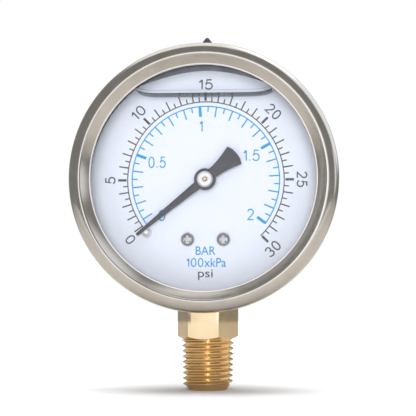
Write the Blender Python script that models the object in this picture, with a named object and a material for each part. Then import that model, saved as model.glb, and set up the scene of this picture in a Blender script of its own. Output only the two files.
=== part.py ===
"""A 63 mm liquid-filled pressure gauge with a bottom connection, as its separate pieces.

The origin is the centre of the stem's end face. +Z runs up the stem, and the dial faces -Y.
Most pieces are placed from the dial's centre, which lies on the pointer's axis.
"""

import math

import bmesh
import bpy
from mathutils import Matrix, Vector

MM = 0.001
TAU = 2 * math.pi

# Clearances
FACE_GAP = 0.3 * MM  # between faces that touch
PIVOT_GAP = 0.1 * MM  # round a pivot, a pressed bush or a screw's shank
OPEN_PIVOT_GAP = 0.3 * MM  # round the tip pin, the pivot where the linkage is opened
WIDE_GAP = 0.4 * MM  # beside the case's curved wall, and between the sector and the link
CUT_PAST = 1.0 * MM  # how far a cutter runs past the face it opens

# Stem, hexagon and neck, from the end of the stem upwards
THREAD_LENGTH = 13.3 * MM
THREAD_PITCH = 1.411 * MM  # 18 turns to the inch
THREAD_DEPTH = 1.1 * MM
THREAD_END_RADIUS = 6.55 * MM  # over the crests, at the stem's end
THREAD_TAPER = 1 / 32  # on the radius
THREAD_START = 0.15 * MM  # height of the first root
THREAD_CREST_WEAR = 0.04 * MM  # taken off the crests
THREAD_OVERLAP = 0.5 * MM  # of the thread into the hexagon
STEM_END_RADIUS = 4.9 * MM
HEX_ACROSS_FLATS = 14.0 * MM
HEX_HEIGHT = 8.7 * MM
HEX_TURN = math.radians(-5.5)
HEX_FACE_SHARE = 0.97  # the round end face against the flats, which sets the corners' chamfer
NECK_RADIUS = 7.5 * MM
NECK_SHOWN = 1.5 * MM  # from the hexagon to the lowest point of the case
SEAL_GROOVE_DEPTH = 0.9 * MM
SEAL_GROOVE_HEIGHT = 1.2 * MM
SEAL_GROOVE_RISE = 0.7 * MM  # above the hexagon
SEAL_SQUEEZE = 0.2 * MM  # the seal's section is this much more than the gapped groove
ENTRY_RADIUS = 2.4 * MM
ENTRY_DEPTH = 8.0 * MM
RESTRICTOR_RADIUS = 1.5 * MM
RESTRICTOR_LENGTH = 2.8 * MM
RESTRICTOR_HOLE_RADIUS = 0.3 * MM
RESTRICTOR_SLOT_HALF = 0.25 * MM
RESTRICTOR_SLOT_DEPTH = 0.6 * MM
PASSAGE_RADIUS = 1.2 * MM

# Case
CASE_RADIUS = 31.0 * MM
CASE_WALL = 0.7 * MM
CASE_BACK = 13.0 * MM  # rear face, behind the stem's axis
CASE_CORNER = 2.0 * MM
BACK_RECESS_RADIUS = 22.5 * MM
BACK_RECESS = 0.4 * MM
FLANGE_WIDTH = 2.0 * MM
FLANGE_THICK = 0.8 * MM
FLANGE_FRONT = -12.6 * MM
COLLAR_WALL = 1.2 * MM
BACK_SCREW_SPREAD = 4.3 * MM
BACK_SCREW_RISE = 3.1 * MM  # above the block's bottom
BACK_SCREW_SHANK = 1.2 * MM
BACK_SCREW_HEAD = 2.0 * MM
BACK_SCREW_HEAD_HEIGHT = 1.4 * MM
BACK_SCREW_LENGTH = 6.0 * MM
BACK_SEAL_THICK = 0.6 * MM
BACK_SEAL_OVERHANG = 0.5 * MM  # past the screw's head

# Window, gasket and bezel
GASKET_THICK = 0.7 * MM
WINDOW_THICK = 1.9 * MM
WINDOW_CHAMFER = 0.3 * MM
WINDOW_MARGIN = 0.5 * MM  # the window is this much smaller than the case in radius
GASKET_LEDGE = 1.2 * MM  # of the gasket behind the window
LIP_MARGIN = 2.5 * MM  # and the bezel's lip this much
BEZEL_SHEET = 0.8 * MM
BEZEL_RISE = 2.9 * MM  # from the lip's inner face to the crest
SHOULDER_RADIUS = 3.0 * MM
FLANK_INSET = 0.4 * MM  # from the foot of the shoulder's arc to the flank

# Filler plug, on top of the case
PLUG_SETBACK = -2.0 * MM
PLUG_STEM_RADIUS = 2.4 * MM
PLUG_HEAD_RADIUS = 4.5 * MM
PLUG_HEAD_THICK = 1.5 * MM
PLUG_NIPPLE_RADIUS = 2.8 * MM
PLUG_NIPPLE_HEIGHT = 2.1 * MM
PLUG_CONE_HEIGHT = 3.2 * MM
PLUG_TIP_RADIUS = 0.35 * MM
PLUG_CORNER = 0.4 * MM
PLUG_CATCH = 0.5 * MM  # past the stem, behind the wall
PLUG_CATCH_GAP = 0.15 * MM
PLUG_CATCH_DEPTH = 0.8 * MM
PLUG_STEM_DEPTH = 1.8 * MM  # below the top of the catch

# Dial and pointer
DIAL_FRONT = -7.5 * MM
DIAL_THICK = 0.6 * MM
DIAL_MARGIN = 1.4 * MM
DIAL_SCREW_DROP = 15.4 * MM
DIAL_SCREW_SPREAD = 4.63 * MM
DIAL_SCREW_HEAD = 1.8 * MM
DIAL_SCREW_HEAD_HEIGHT = 1.2 * MM
DIAL_SCREW_SHANK = 0.95 * MM
DIAL_SCREW_GRIP = 1.6 * MM  # how deep each screw bites into the tongue
DIAL_HOLE_RADIUS = 1.9 * MM
POINTER_CLEAR = 2.0 * MM  # from the dial to the pointer
POINTER_THICK = 0.4 * MM
POINTER_LENGTH = 22.7 * MM
POINTER_TAIL = 10.5 * MM
POINTER_DISC_RADIUS = 2.85 * MM
POINTER_REST = math.radians(218.8)  # anticlockwise from +X, seen from the front
POINTER_HALF_AT_HUB = 1.08 * MM
POINTER_HALF_AT_TIP = 0.35 * MM
TAIL_NECK_HALF = 1.41 * MM
TAIL_END_HALF_ANGLE = math.radians(16.65)
TAIL_CORNER = 10.19 * MM
TAIL_FLARE = 1.7  # the power the tail widens by
HUB_RADIUS = 2.05 * MM
HUB_BARREL_RADIUS = 1.3 * MM
HUB_HEAD_THICK = 0.6 * MM
HUB_FACE_SHARE = 0.85  # the flat face against the head's radius
HUB_EDGE = 0.2 * MM
HUB_BARREL_PAST = 0.6 * MM  # behind the pointer
STOP_PIN_DISTANCE = 20.4 * MM
STOP_PIN_HEAD = 1.15 * MM
STOP_PIN_POST = 0.6 * MM
STOP_PIN_CROWN = 0.8  # the crown's share of the head's radius
STOP_PIN_CROWN_FALL = 0.1 * MM
STOP_PIN_EDGE_FALL = 0.5 * MM
STOP_PIN_SPIGOT = 0.5 * MM
STOP_PIN_SHORT = 0.1 * MM  # of the dial's rear face

# Bourdon tube
TUBE_RADIUS = 22.0 * MM  # of the bent tube's centre line
TUBE_WIDTH = 7.0 * MM
TUBE_THICK = 3.0 * MM
TUBE_WALL = 0.4 * MM
TUBE_MIDDLE = 2.0 * MM  # its middle plane, behind the stem's axis
TUBE_ROOT_DEPTH = 1.7 * MM  # how far it runs into the socket's block
TUBE_TIP_ANGLE = math.radians(-20)
TUBE_EDGE_POWER = 0.8  # below 1, the section is squarer than an ellipse at its narrow edges
TUBE_FLAT_POWER = 0.6  # and on its flat sides
TIP_LENGTH = 2.6 * MM
TIP_PLUG = 2.0 * MM
TIP_EAR_THICK = 0.8 * MM
TIP_PIN_HEAD = 0.9 * MM
TIP_PIN_HEAD_HEIGHT = 0.5 * MM

# Socket block, which carries the tube, the movement and the dial
BLOCK_HALF = 7.0 * MM
BLOCK_FRONT = DIAL_FRONT + DIAL_THICK + FACE_GAP
BLOCK_BELOW_TUBE = 3.5 * MM  # the block's top lies this far inside the tube's centre line
TONGUE_BACK = -2.0 * MM
TONGUE_RISE = 3.9 * MM  # above the dial screws

# Movement
ARBOR_DROP = 10.0 * MM  # from the pointer's axis to the sector's
GEAR_RATIO = 9
PINION_TEETH = 12
PLATE_THICK = 0.8 * MM
BACK_PLATE_FRONT = 6.0 * MM
PILLAR_SPREAD = 8.0 * MM
PILLAR_DROP = 2.0 * MM
PILLAR_RADIUS = 1.3 * MM
PILLAR_SPIGOT = 0.6 * MM
PILLAR_BORE_DEPTH = 2.6 * MM
PLATE_SCREW_HEAD = 1.2 * MM
PLATE_SCREW_HEAD_HEIGHT = 0.7 * MM
PLATE_SCREW_GRIP = 2.8 * MM
PLATE_WING = 2.2 * MM  # past the pillars
PLATE_TOP = 3.5 * MM  # above the pointer's axis
PLATE_TOP_HALF = 4.0 * MM
PLATE_ARM = 3.0 * MM
PLATE_FOOT_HALF = 3.0 * MM
PLATE_FOOT_DROP = 2.5 * MM  # below the sector's axis
PLATE_WAIST_DROP = 1.0 * MM
PLATE_CORNER = 0.8 * MM
MOVEMENT_SCREW_HEAD = 1.6 * MM
MOVEMENT_SCREW_HEAD_HEIGHT = 0.9 * MM
MOVEMENT_SCREW_GRIP = 2.1 * MM
MOVEMENT_SCREW_RISE = 2.2 * MM  # above the dial screws
TOOTH_SHARE = 0.42  # of the pitch, at the pitch circle
TOOTH_LEAN = 0.36  # how far each flank leans for its height
SECTOR_FRONT = 1.4 * MM
SECTOR_THICK = 1.2 * MM
SECTOR_TAIL = 4.5 * MM
SECTOR_TAIL_ANGLE = math.radians(-75)
SECTOR_HUB = 2.0 * MM
SECTOR_FIRST_TOOTH = -11  # counted from straight up, anticlockwise
SECTOR_TEETH = 14
SECTOR_SPOKE = 1.2 * MM  # from the hub to the window in the sector
SECTOR_RIM = 1.6 * MM  # from the window to the teeth
LINK_THICK = 0.8 * MM
LINK_EYE = 1.2 * MM
LINK_SCREW_HEAD = 0.9 * MM
LINK_SCREW_HEAD_HEIGHT = 0.5 * MM
SHAFT_RADIUS = 0.6 * MM
SHAFT_NOSE = 0.75 * MM  # in front of the hub's seat
SHAFT_NECK = 0.15 * MM  # taken off the radius inside the hub
SHAFT_SHOULDER = 0.9 * MM  # behind the pointer
PINION_MARGIN = 0.4 * MM  # the pinion is this much thicker than the sector on each side
ARBOR_RADIUS = 0.7 * MM
PIN_RADIUS = 0.4 * MM
HAIRSPRING_OUTER = 4.45 * MM
HAIRSPRING_INNER = 1.5 * MM
HAIRSPRING_TURNS = 3.5
HAIRSPRING_STRIP = 0.15 * MM
HAIRSPRING_HEIGHT = 1.0 * MM
HAIRSPRING_END = math.radians(150)
HAIRSPRING_STUD = 0.45 * MM
TIP_LINK_ALONG = 5.1 * MM  # from the tube's end to the link's pin, along the tube
TIP_LINK_INWARD = 1.0 * MM

# Places that follow
HEX_TOP = THREAD_LENGTH + HEX_HEIGHT
CASE_BOTTOM = HEX_TOP + NECK_SHOWN
DIAL_HEIGHT = CASE_BOTTOM + CASE_RADIUS
DIAL_CENTRE = Vector((0, 0, DIAL_HEIGHT))
CASE_INSIDE = CASE_RADIUS - CASE_WALL
WINDOW_BACK = FLANGE_FRONT - GASKET_THICK - 2 * FACE_GAP
WINDOW_FRONT = WINDOW_BACK - WINDOW_THICK
LIP_BACK = WINDOW_FRONT - FACE_GAP
BEZEL_CREST = LIP_BACK - BEZEL_RISE
POINTER_BACK = DIAL_FRONT - POINTER_CLEAR
POINTER_FRONT = POINTER_BACK - POINTER_THICK
BLOCK_BACK = CASE_BACK - BACK_RECESS - CASE_WALL - FACE_GAP
BLOCK_TOP = DIAL_HEIGHT - TUBE_RADIUS + BLOCK_BELOW_TUBE
BLOCK_BOTTOM = DIAL_HEIGHT - math.sqrt(CASE_INSIDE**2 - BLOCK_HALF**2) + WIDE_GAP
SEAL_GROOVE_LOW = HEX_TOP + SEAL_GROOVE_RISE
MOVEMENT_SCREW_DROP = DIAL_SCREW_DROP - MOVEMENT_SCREW_RISE
TONGUE_TOP = DIAL_HEIGHT - DIAL_SCREW_DROP + TONGUE_RISE
FRONT_PLATE_FRONT = TONGUE_BACK + FACE_GAP
FRONT_PLATE_BACK = FRONT_PLATE_FRONT + PLATE_THICK
BACK_PLATE_BACK = BACK_PLATE_FRONT + PLATE_THICK
SECTOR_BACK = SECTOR_FRONT + SECTOR_THICK
LINK_FRONT = SECTOR_BACK + WIDE_GAP
LINK_BACK = LINK_FRONT + LINK_THICK
TIP_EAR_FRONT = LINK_BACK + FACE_GAP
TIP_EAR_BACK = TIP_EAR_FRONT + TIP_EAR_THICK
PITCH_RADIUS = ARBOR_DROP / (GEAR_RATIO + 1)
SECTOR_RADIUS = PITCH_RADIUS * GEAR_RATIO
ADDENDUM = 0.15 * PITCH_RADIUS
DEDENDUM = 0.22 * PITCH_RADIUS
TUBE_ROOT_ANGLE = TAU - math.acos((TUBE_ROOT_DEPTH - BLOCK_HALF) / TUBE_RADIUS)
ARBOR_CENTRE = DIAL_CENTRE - Vector((0, 0, ARBOR_DROP))


def dial_rim():
    """The dial plate's radius."""
    return CASE_INSIDE - DIAL_MARGIN / 2


def collar_top():
    """The height where the collar and the neck end, just below the dial plate."""
    return DIAL_HEIGHT - dial_rim() - FACE_GAP


def on_dial(radius, angle):
    """The point at this radius and angle from the dial's centre, as (x, z) offsets."""
    return radius * math.cos(angle), radius * math.sin(angle)


TAIL_PIVOT = Vector(on_dial(SECTOR_TAIL, SECTOR_TAIL_ANGLE)) - Vector((0, ARBOR_DROP))
TUBE_END = Vector(on_dial(TUBE_RADIUS, TUBE_TIP_ANGLE))
TUBE_OUTWARD = TUBE_END.normalized()
TUBE_ONWARD = Vector((TUBE_OUTWARD.y, -TUBE_OUTWARD.x))
TIP_PIVOT = TUBE_END + TIP_LINK_ALONG * TUBE_ONWARD - TIP_LINK_INWARD * TUBE_OUTWARD


# Making solids

LARGE_STEPS = 60  # sides on the case, the bezel and the dial
THREAD_STEPS = 24  # and on one turn of the thread
SMALL_STEPS = 12  # and on screws, pins and their holes
SHARP_ANGLE = math.radians(35)
PAN_HEAD = ((0, 1), (0.6, 0.93), (0.92, 0.55), (1, 0.22), (1, 0))  # shares of radius and height
CROSS_REACH = 0.55  # a Phillips recess's shares of the head's radius
CROSS_HALF = 0.12
SLIT_REACH = 1.2  # and a plain slot's
SLIT_HALF = 0.13


def finish(name, color, metallic, roughness):
    """The material of this name, made once."""
    material = bpy.data.materials.get(name)
    if material is None:
        material = bpy.data.materials.new(name)
        material.use_nodes = True
        shader = material.node_tree.nodes["Principled BSDF"]
        shader.inputs["Base Color"].default_value = (*color, 1)
        shader.inputs["Metallic"].default_value = metallic
        shader.inputs["Roughness"].default_value = roughness
    return material


STEEL = finish("stainless_steel", (0.55, 0.54, 0.52), 1, 0.25)
SCREW_STEEL = finish("screw_steel", (0.6, 0.6, 0.6), 1, 0.3)
BRASS = finish("brass", (0.5, 0.33, 0.16), 1, 0.35)
SPRING_BRONZE = finish("spring_bronze", (0.45, 0.24, 0.11), 1, 0.3)
WHITE_PAINT = finish("dial_white", (0.8, 0.83, 0.9), 0, 0.5)
BLACK_PAINT = finish("pointer_black", (0.05, 0.05, 0.06), 0, 0.45)
RUBBER = finish("black_rubber", (0.03, 0.03, 0.03), 0, 0.7)
CLEAR = finish("clear_window", (0.9, 0.95, 0.97), 0, 0.05)
CLEAR.node_tree.nodes["Principled BSDF"].inputs["Alpha"].default_value = 0.3


def along(axis, u, v, height):
    """A point with its height along the named axis."""
    if axis == "X":
        return Vector((height, u, v))
    if axis == "Y":
        return Vector((u, height, v))
    return Vector((u, v, height))


def make_object(name, mesh, material, centre, smooth=True):
    """An object from a bmesh, closed and facing out, and smooth across shallow edges if it is round."""
    bmesh.ops.recalc_face_normals(mesh, faces=mesh.faces)
    data = bpy.data.meshes.new(name)
    mesh.to_mesh(data)
    mesh.free()
    data.materials.append(material)
    if smooth:
        data.shade_smooth()
        data.set_sharp_from_angle(angle=SHARP_ANGLE)
    made = bpy.data.objects.new(name, data)
    made.location = centre
    bpy.context.scene.collection.objects.link(made)
    return made


def turned(name, profile, material, centre=DIAL_CENTRE, axis="Y", steps=SMALL_STEPS):
    """A solid turned about an axis through centre, from a closed outline of (radius, height)."""
    mesh = bmesh.new()
    rings = []
    for radius, height in profile:
        count = steps if radius > 0 else 1
        ring = []
        for step in range(count):
            angle = TAU * step / steps
            ring.append(
                mesh.verts.new(along(axis, radius * math.cos(angle), radius * math.sin(angle), height))
            )
        rings.append(ring)
    for ring, after in zip(rings, rings[1:] + rings[:1]):
        for step in range(steps):
            corners = [ring[step % len(ring)], ring[(step + 1) % len(ring)]]
            corners += [after[(step + 1) % len(after)], after[step % len(after)]]
            corners = list(dict.fromkeys(corners))
            if len(corners) > 2:
                mesh.faces.new(corners)
    return make_object(name, mesh, material, centre)


def plate(name, outline, near, far, material, centre=DIAL_CENTRE, axis="Y"):
    """A flat outline given a thickness along an axis, from near to far."""
    mesh = bmesh.new()
    front = [mesh.verts.new(along(axis, u, v, near)) for u, v in outline]
    back = [mesh.verts.new(along(axis, u, v, far)) for u, v in outline]
    mesh.faces.new(front)
    mesh.faces.new(back[::-1])
    for index in range(len(outline)):
        after = (index + 1) % len(outline)
        mesh.faces.new([front[index], back[index], back[after], front[after]])
    return make_object(name, mesh, material, centre, smooth=False)


def combine(target, other, operation):
    """Cuts a helper object from the target, adds it, or keeps what they share."""
    other.name = target.name + "_" + operation.lower() + "_helper"
    other.hide_render = True
    other.display_type = "WIRE"
    modifier = target.modifiers.new(operation.title(), "BOOLEAN")
    modifier.operation = operation
    modifier.object = other


def drill(target, radius, low, high, centre=DIAL_CENTRE, axis="Y", steps=SMALL_STEPS):
    """Cuts a round hole from low to high along an axis through centre."""
    outline = [(0, low), (radius, low), (radius, high), (0, high)]
    cutter = turned("hole", outline, STEEL, centre, axis, steps)
    combine(target, cutter, "DIFFERENCE")


def at(x, z, y=0.0):
    """A place given from the dial's centre."""
    return DIAL_CENTRE + Vector((x, y, z))


def arc(centre_u, centre_v, radius, start, end, steps):
    """Points on an arc, both ends included, with its angles in radians."""
    points = []
    for step in range(steps + 1):
        angle = start + (end - start) * step / steps
        points.append((centre_u + radius * math.cos(angle), centre_v + radius * math.sin(angle)))
    return points


def rounded(corners, radius, steps=4):
    """The outline through these corners, each one rounded to the radius."""
    points = []
    for index, corner in enumerate(corners):
        here = Vector(corner)
        before = (Vector(corners[index - 1]) - here).normalized()
        after = (Vector(corners[(index + 1) % len(corners)]) - here).normalized()
        half = before.angle(after) / 2
        reach = radius / math.tan(half)
        middle = here + (before + after).normalized() * radius / math.sin(half)
        first = here + before * reach - middle
        last = here + after * reach - middle
        turn = first.angle_signed(last)
        for step in range(steps + 1):
            spoke = first.copy()
            spoke.rotate(Matrix.Rotation(-turn * step / steps, 2))
            points.append(tuple(middle + spoke))
    return points


def cross(half_length, half_width):
    """The outline of a Phillips recess."""
    points = []
    for quarter in range(4):
        turn = Matrix.Rotation(quarter * TAU / 4, 2)
        for corner in ((half_length, -half_width), (half_length, half_width), (half_width, half_width)):
            points.append(tuple(turn @ Vector(corner)))
    return points


def screw(name, centre, head_radius, head_height, shank_radius, shank_length, facing, phillips=False):
    """A pan-head screw along Y, its head's seat at centre. facing is -1 if its head is in front."""
    outline = [(across * head_radius, facing * up * head_height) for across, up in PAN_HEAD]
    outline += [(shank_radius, 0), (shank_radius, -facing * shank_length), (0, -facing * shank_length)]
    made = turned(name, outline, SCREW_STEEL, centre)
    if phillips:
        recess = cross(head_radius * CROSS_REACH, head_radius * CROSS_HALF)
    else:
        reach = head_radius * SLIT_REACH
        slit = head_radius * SLIT_HALF
        recess = [(-reach, -slit), (reach, -slit), (reach, slit), (-reach, slit)]
    bottom = facing * head_height * 0.5
    top = facing * head_height * 1.5
    combine(made, plate("recess", recess, bottom, top, STEEL, centre), "DIFFERENCE")
    return made


# Pieces of the case


def make_case():
    """The steel cup with its front flange, the collar for the socket's neck and its holes."""
    corner = CASE_CORNER
    inner_corner = CASE_CORNER - CASE_WALL
    recess_face = CASE_BACK - BACK_RECESS
    recess_edge = BACK_RECESS_RADIUS + BACK_RECESS
    outline = [(CASE_INSIDE, FLANGE_FRONT), (CASE_RADIUS + FLANGE_WIDTH, FLANGE_FRONT)]
    outline += [(CASE_RADIUS + FLANGE_WIDTH, FLANGE_FRONT + FLANGE_THICK)]
    outline += [(CASE_RADIUS, FLANGE_FRONT + FLANGE_THICK)]
    outline += arc(CASE_RADIUS - corner, CASE_BACK - corner, corner, 0, TAU / 4, 2)
    outline += [(recess_edge, CASE_BACK), (BACK_RECESS_RADIUS, recess_face), (0, recess_face)]
    outline += [(0, recess_face - CASE_WALL), (BACK_RECESS_RADIUS + CASE_WALL, recess_face - CASE_WALL)]
    outline += [(recess_edge + CASE_WALL, CASE_BACK - CASE_WALL)]
    outline += arc(CASE_RADIUS - corner, CASE_BACK - corner, inner_corner, TAU / 4, 0, 2)
    case = turned("case", outline, STEEL, steps=LARGE_STEPS)
    top = Vector((0, PLUG_SETBACK, 0))
    hole_bottom = DIAL_HEIGHT + CASE_INSIDE - CASE_WALL
    hole_top = DIAL_HEIGHT + CASE_RADIUS + CASE_WALL
    drill(case, PLUG_STEM_RADIUS + FACE_GAP, hole_bottom, hole_top, top, "Z", 16)
    for side in (-1, 1):
        drill(case, BACK_SCREW_SHANK + FACE_GAP, -CASE_CORNER, CASE_WALL, back_screw_place(side))
    bore = NECK_RADIUS + FACE_GAP
    ring = bore + COLLAR_WALL
    low = HEX_TOP + WIDE_GAP
    high = collar_top()
    collar_outline = [(bore / 2, low), (ring, low), (ring, high), (bore / 2, high)]
    collar = turned("collar", collar_outline, STEEL, Vector(), "Z", 24)
    combine(case, collar, "UNION")
    drill(case, bore, low - NECK_SHOWN, BLOCK_BOTTOM + NECK_SHOWN, Vector(), "Z", 24)


def back_screw_place(side):
    """Where a back screw's axis meets the rear face."""
    return Vector((side * BACK_SCREW_SPREAD, CASE_BACK, BLOCK_BOTTOM + BACK_SCREW_RISE))


def make_back_screws():
    """Two screws through the rear wall into the block, each on a sealing washer."""
    for side, word in ((-1, "left"), (1, "right")):
        place = back_screw_place(side)
        inner = BACK_SCREW_SHANK + FACE_GAP
        outer = BACK_SCREW_HEAD + BACK_SEAL_OVERHANG
        low = FACE_GAP
        high = low + BACK_SEAL_THICK
        washer = [(inner, low), (outer, low), (outer, high), (inner, high)]
        turned("back_seal_" + word, washer, RUBBER, place, steps=20)
        seat = place + Vector((0, high + FACE_GAP, 0))
        head = (BACK_SCREW_HEAD, BACK_SCREW_HEAD_HEIGHT)
        screw("back_screw_" + word, seat, *head, BACK_SCREW_SHANK, BACK_SCREW_LENGTH, 1, True)


def make_bezel():
    """The rolled ring: skirt crimped behind the flange, round shoulder, crest, flank and lip."""
    skirt_inside = CASE_RADIUS + FLANGE_WIDTH + FACE_GAP
    skirt = skirt_inside + BEZEL_SHEET
    crimp_front = FLANGE_FRONT + FLANGE_THICK + FACE_GAP
    crimp_back = crimp_front + BEZEL_SHEET
    crimp_edge = CASE_RADIUS + WIDE_GAP
    lip = CASE_RADIUS - LIP_MARGIN
    middle = skirt - SHOULDER_RADIUS
    middle_y = BEZEL_CREST + SHOULDER_RADIUS
    lip_front = LIP_BACK - BEZEL_SHEET / 2
    flank = middle - lip - FLANK_INSET  # the flank's width, at 45 degrees
    inner_shoulder = SHOULDER_RADIUS - BEZEL_SHEET
    outline = [(crimp_edge, crimp_back)]
    outline += arc(skirt - BEZEL_SHEET, crimp_back - BEZEL_SHEET, BEZEL_SHEET, TAU / 4, 0, 1)
    outline += arc(middle, middle_y, SHOULDER_RADIUS, 0, -TAU / 4, 5)
    outline += [(lip + flank, lip_front - flank), (lip, lip_front), (lip, LIP_BACK)]
    outline += [(lip + BEZEL_SHEET, LIP_BACK)]
    outline += arc(middle, middle_y, inner_shoulder, -TAU / 4, 0, 2)
    outline += [(skirt_inside, crimp_front), (crimp_edge, crimp_front)]
    turned("bezel_ring", outline, STEEL, steps=LARGE_STEPS)


def make_window():
    """The clear disc, and the rubber gasket round its edge and behind it."""
    rim = CASE_RADIUS - WINDOW_MARGIN
    outline = [(0, WINDOW_FRONT), (rim - WINDOW_CHAMFER, WINDOW_FRONT), (rim, WINDOW_FRONT + WINDOW_CHAMFER)]
    outline += [(rim, WINDOW_BACK), (0, WINDOW_BACK)]
    turned("window", outline, CLEAR, steps=LARGE_STEPS)
    inside = rim - GASKET_LEDGE
    wall = rim + FACE_GAP
    outside = CASE_RADIUS + FLANGE_WIDTH
    seat = FLANGE_FRONT - FACE_GAP
    front = WINDOW_FRONT + FACE_GAP
    ledge = WINDOW_BACK + FACE_GAP
    outline = [(inside, seat), (inside, ledge), (wall, ledge)]
    outline += [(wall, front), (outside, front), (outside, seat)]
    turned("window_gasket", outline, RUBBER, steps=LARGE_STEPS)


def make_filler_plug():
    """The rubber plug pushed into the hole on top of the case, with a conical nipple."""
    wall_inside = CASE_INSIDE - FACE_GAP
    head = CASE_RADIUS + FACE_GAP
    shoulder = head + PLUG_HEAD_THICK
    nipple = shoulder + PLUG_NIPPLE_HEIGHT
    catch = PLUG_STEM_RADIUS + PLUG_CATCH
    catch_top = wall_inside - PLUG_CATCH_GAP
    stem_end = catch_top - PLUG_STEM_DEPTH
    outline = [(0, stem_end), (PLUG_STEM_RADIUS, stem_end)]
    outline += [(catch, catch_top - PLUG_CATCH_DEPTH), (catch, catch_top), (PLUG_STEM_RADIUS, catch_top)]
    outline += [(PLUG_STEM_RADIUS, head), (PLUG_HEAD_RADIUS, head)]
    outline += [(PLUG_HEAD_RADIUS, shoulder - PLUG_CORNER), (PLUG_HEAD_RADIUS - PLUG_CORNER, shoulder)]
    outline += [(PLUG_NIPPLE_RADIUS, shoulder), (PLUG_NIPPLE_RADIUS, nipple)]
    outline += [(PLUG_TIP_RADIUS, nipple + PLUG_CONE_HEIGHT), (0, nipple + PLUG_CONE_HEIGHT)]
    turned("filler_plug", outline, RUBBER, at(0, 0, PLUG_SETBACK), "Z", 20)


# Socket


def thread_mesh(top):
    """A taper thread as one closed skin: a strip of root, crest and root wound up the stem."""
    per_turn = THREAD_STEPS
    rise = THREAD_PITCH / per_turn
    start = THREAD_START
    last = per_turn * math.ceil((top - start) / THREAD_PITCH)
    mesh = bmesh.new()

    def point(step, height, depth):
        radius = THREAD_END_RADIUS + height * THREAD_TAPER - depth
        radius = min(radius, STEM_END_RADIUS + height)
        return mesh.verts.new(along("Z", *on_dial(radius, TAU * step / per_turn), height))

    roots = [point(step, start + rise * step, THREAD_DEPTH) for step in range(last + 1)]
    crests = [
        point(step, start + rise * step + THREAD_PITCH / 2, THREAD_CREST_WEAR)
        for step in range(last + 1 - per_turn)
    ]
    bottom = [point(step, 0, THREAD_DEPTH) for step in range(per_turn)]
    top_height = start + rise * last + THREAD_PITCH / 2
    ceiling = [point(step, top_height, 1.5 * THREAD_DEPTH) for step in range(per_turn)]
    for step in range(last - per_turn):
        mesh.faces.new([roots[step], roots[step + 1], crests[step + 1], crests[step]])
        mesh.faces.new([crests[step], crests[step + 1], roots[step + 1 + per_turn], roots[step + per_turn]])
    for step in range(per_turn):
        after = (step + 1) % per_turn
        mesh.faces.new([bottom[step], bottom[after], roots[step + 1], roots[step]])
        above = last - per_turn + step
        mesh.faces.new([roots[above], roots[above + 1], ceiling[after], ceiling[step]])
    mesh.faces.new([bottom[0], roots[0], crests[0], roots[per_turn]])
    mesh.faces.new([roots[last - per_turn], crests[-1], roots[last], ceiling[0]])
    mesh.faces.new(bottom[::-1])
    mesh.faces.new(ceiling)
    bmesh.ops.triangulate(mesh, faces=mesh.faces)
    return mesh


def make_hexagon():
    """The wrench hexagon, its corners taken off at 30 degrees at both ends."""
    corner = HEX_ACROSS_FLATS / 2 / math.cos(TAU / 12)
    outline = [on_dial(corner, HEX_TURN + TAU * index / 6) for index in range(6)]
    hexagon = plate("hexagon", outline, THREAD_LENGTH, HEX_TOP, BRASS, Vector(), "Z")
    flat = HEX_ACROSS_FLATS / 2 * HEX_FACE_SHARE
    wide = corner * 1.1
    fall = (wide - flat) * math.tan(TAU / 12)
    low = THREAD_LENGTH
    cone = [(0, low), (flat, low), (wide, low + fall), (wide, HEX_TOP - fall), (flat, HEX_TOP), (0, HEX_TOP)]
    combine(hexagon, turned("hex_chamfer", cone, BRASS, Vector(), "Z", 36), "INTERSECT")
    return hexagon


def make_neck():
    """The round neck that passes through the case, with a groove for its seal."""
    low = HEX_TOP - FACE_GAP
    high = collar_top()
    groove = NECK_RADIUS - SEAL_GROOVE_DEPTH
    outline = [(0, low), (NECK_RADIUS, low), (NECK_RADIUS, SEAL_GROOVE_LOW), (groove, SEAL_GROOVE_LOW)]
    outline += [(groove, SEAL_GROOVE_LOW + SEAL_GROOVE_HEIGHT)]
    outline += [(NECK_RADIUS, SEAL_GROOVE_LOW + SEAL_GROOVE_HEIGHT), (NECK_RADIUS, high)]
    outline += [(-BLOCK_FRONT, high), (-BLOCK_FRONT, BLOCK_BOTTOM + FACE_GAP), (0, BLOCK_BOTTOM + FACE_GAP)]
    section = (SEAL_GROOVE_HEIGHT - 2 * FACE_GAP + SEAL_SQUEEZE) / 2
    middle = groove + section + SEAL_SQUEEZE
    ring = arc(middle, SEAL_GROOVE_LOW + SEAL_GROOVE_HEIGHT / 2, section, 0, TAU * 5 / 6, 5)
    turned("socket_seal", ring, RUBBER, Vector(), "Z", 24)
    return turned("neck", outline, BRASS, Vector(), "Z", 32)


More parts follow.
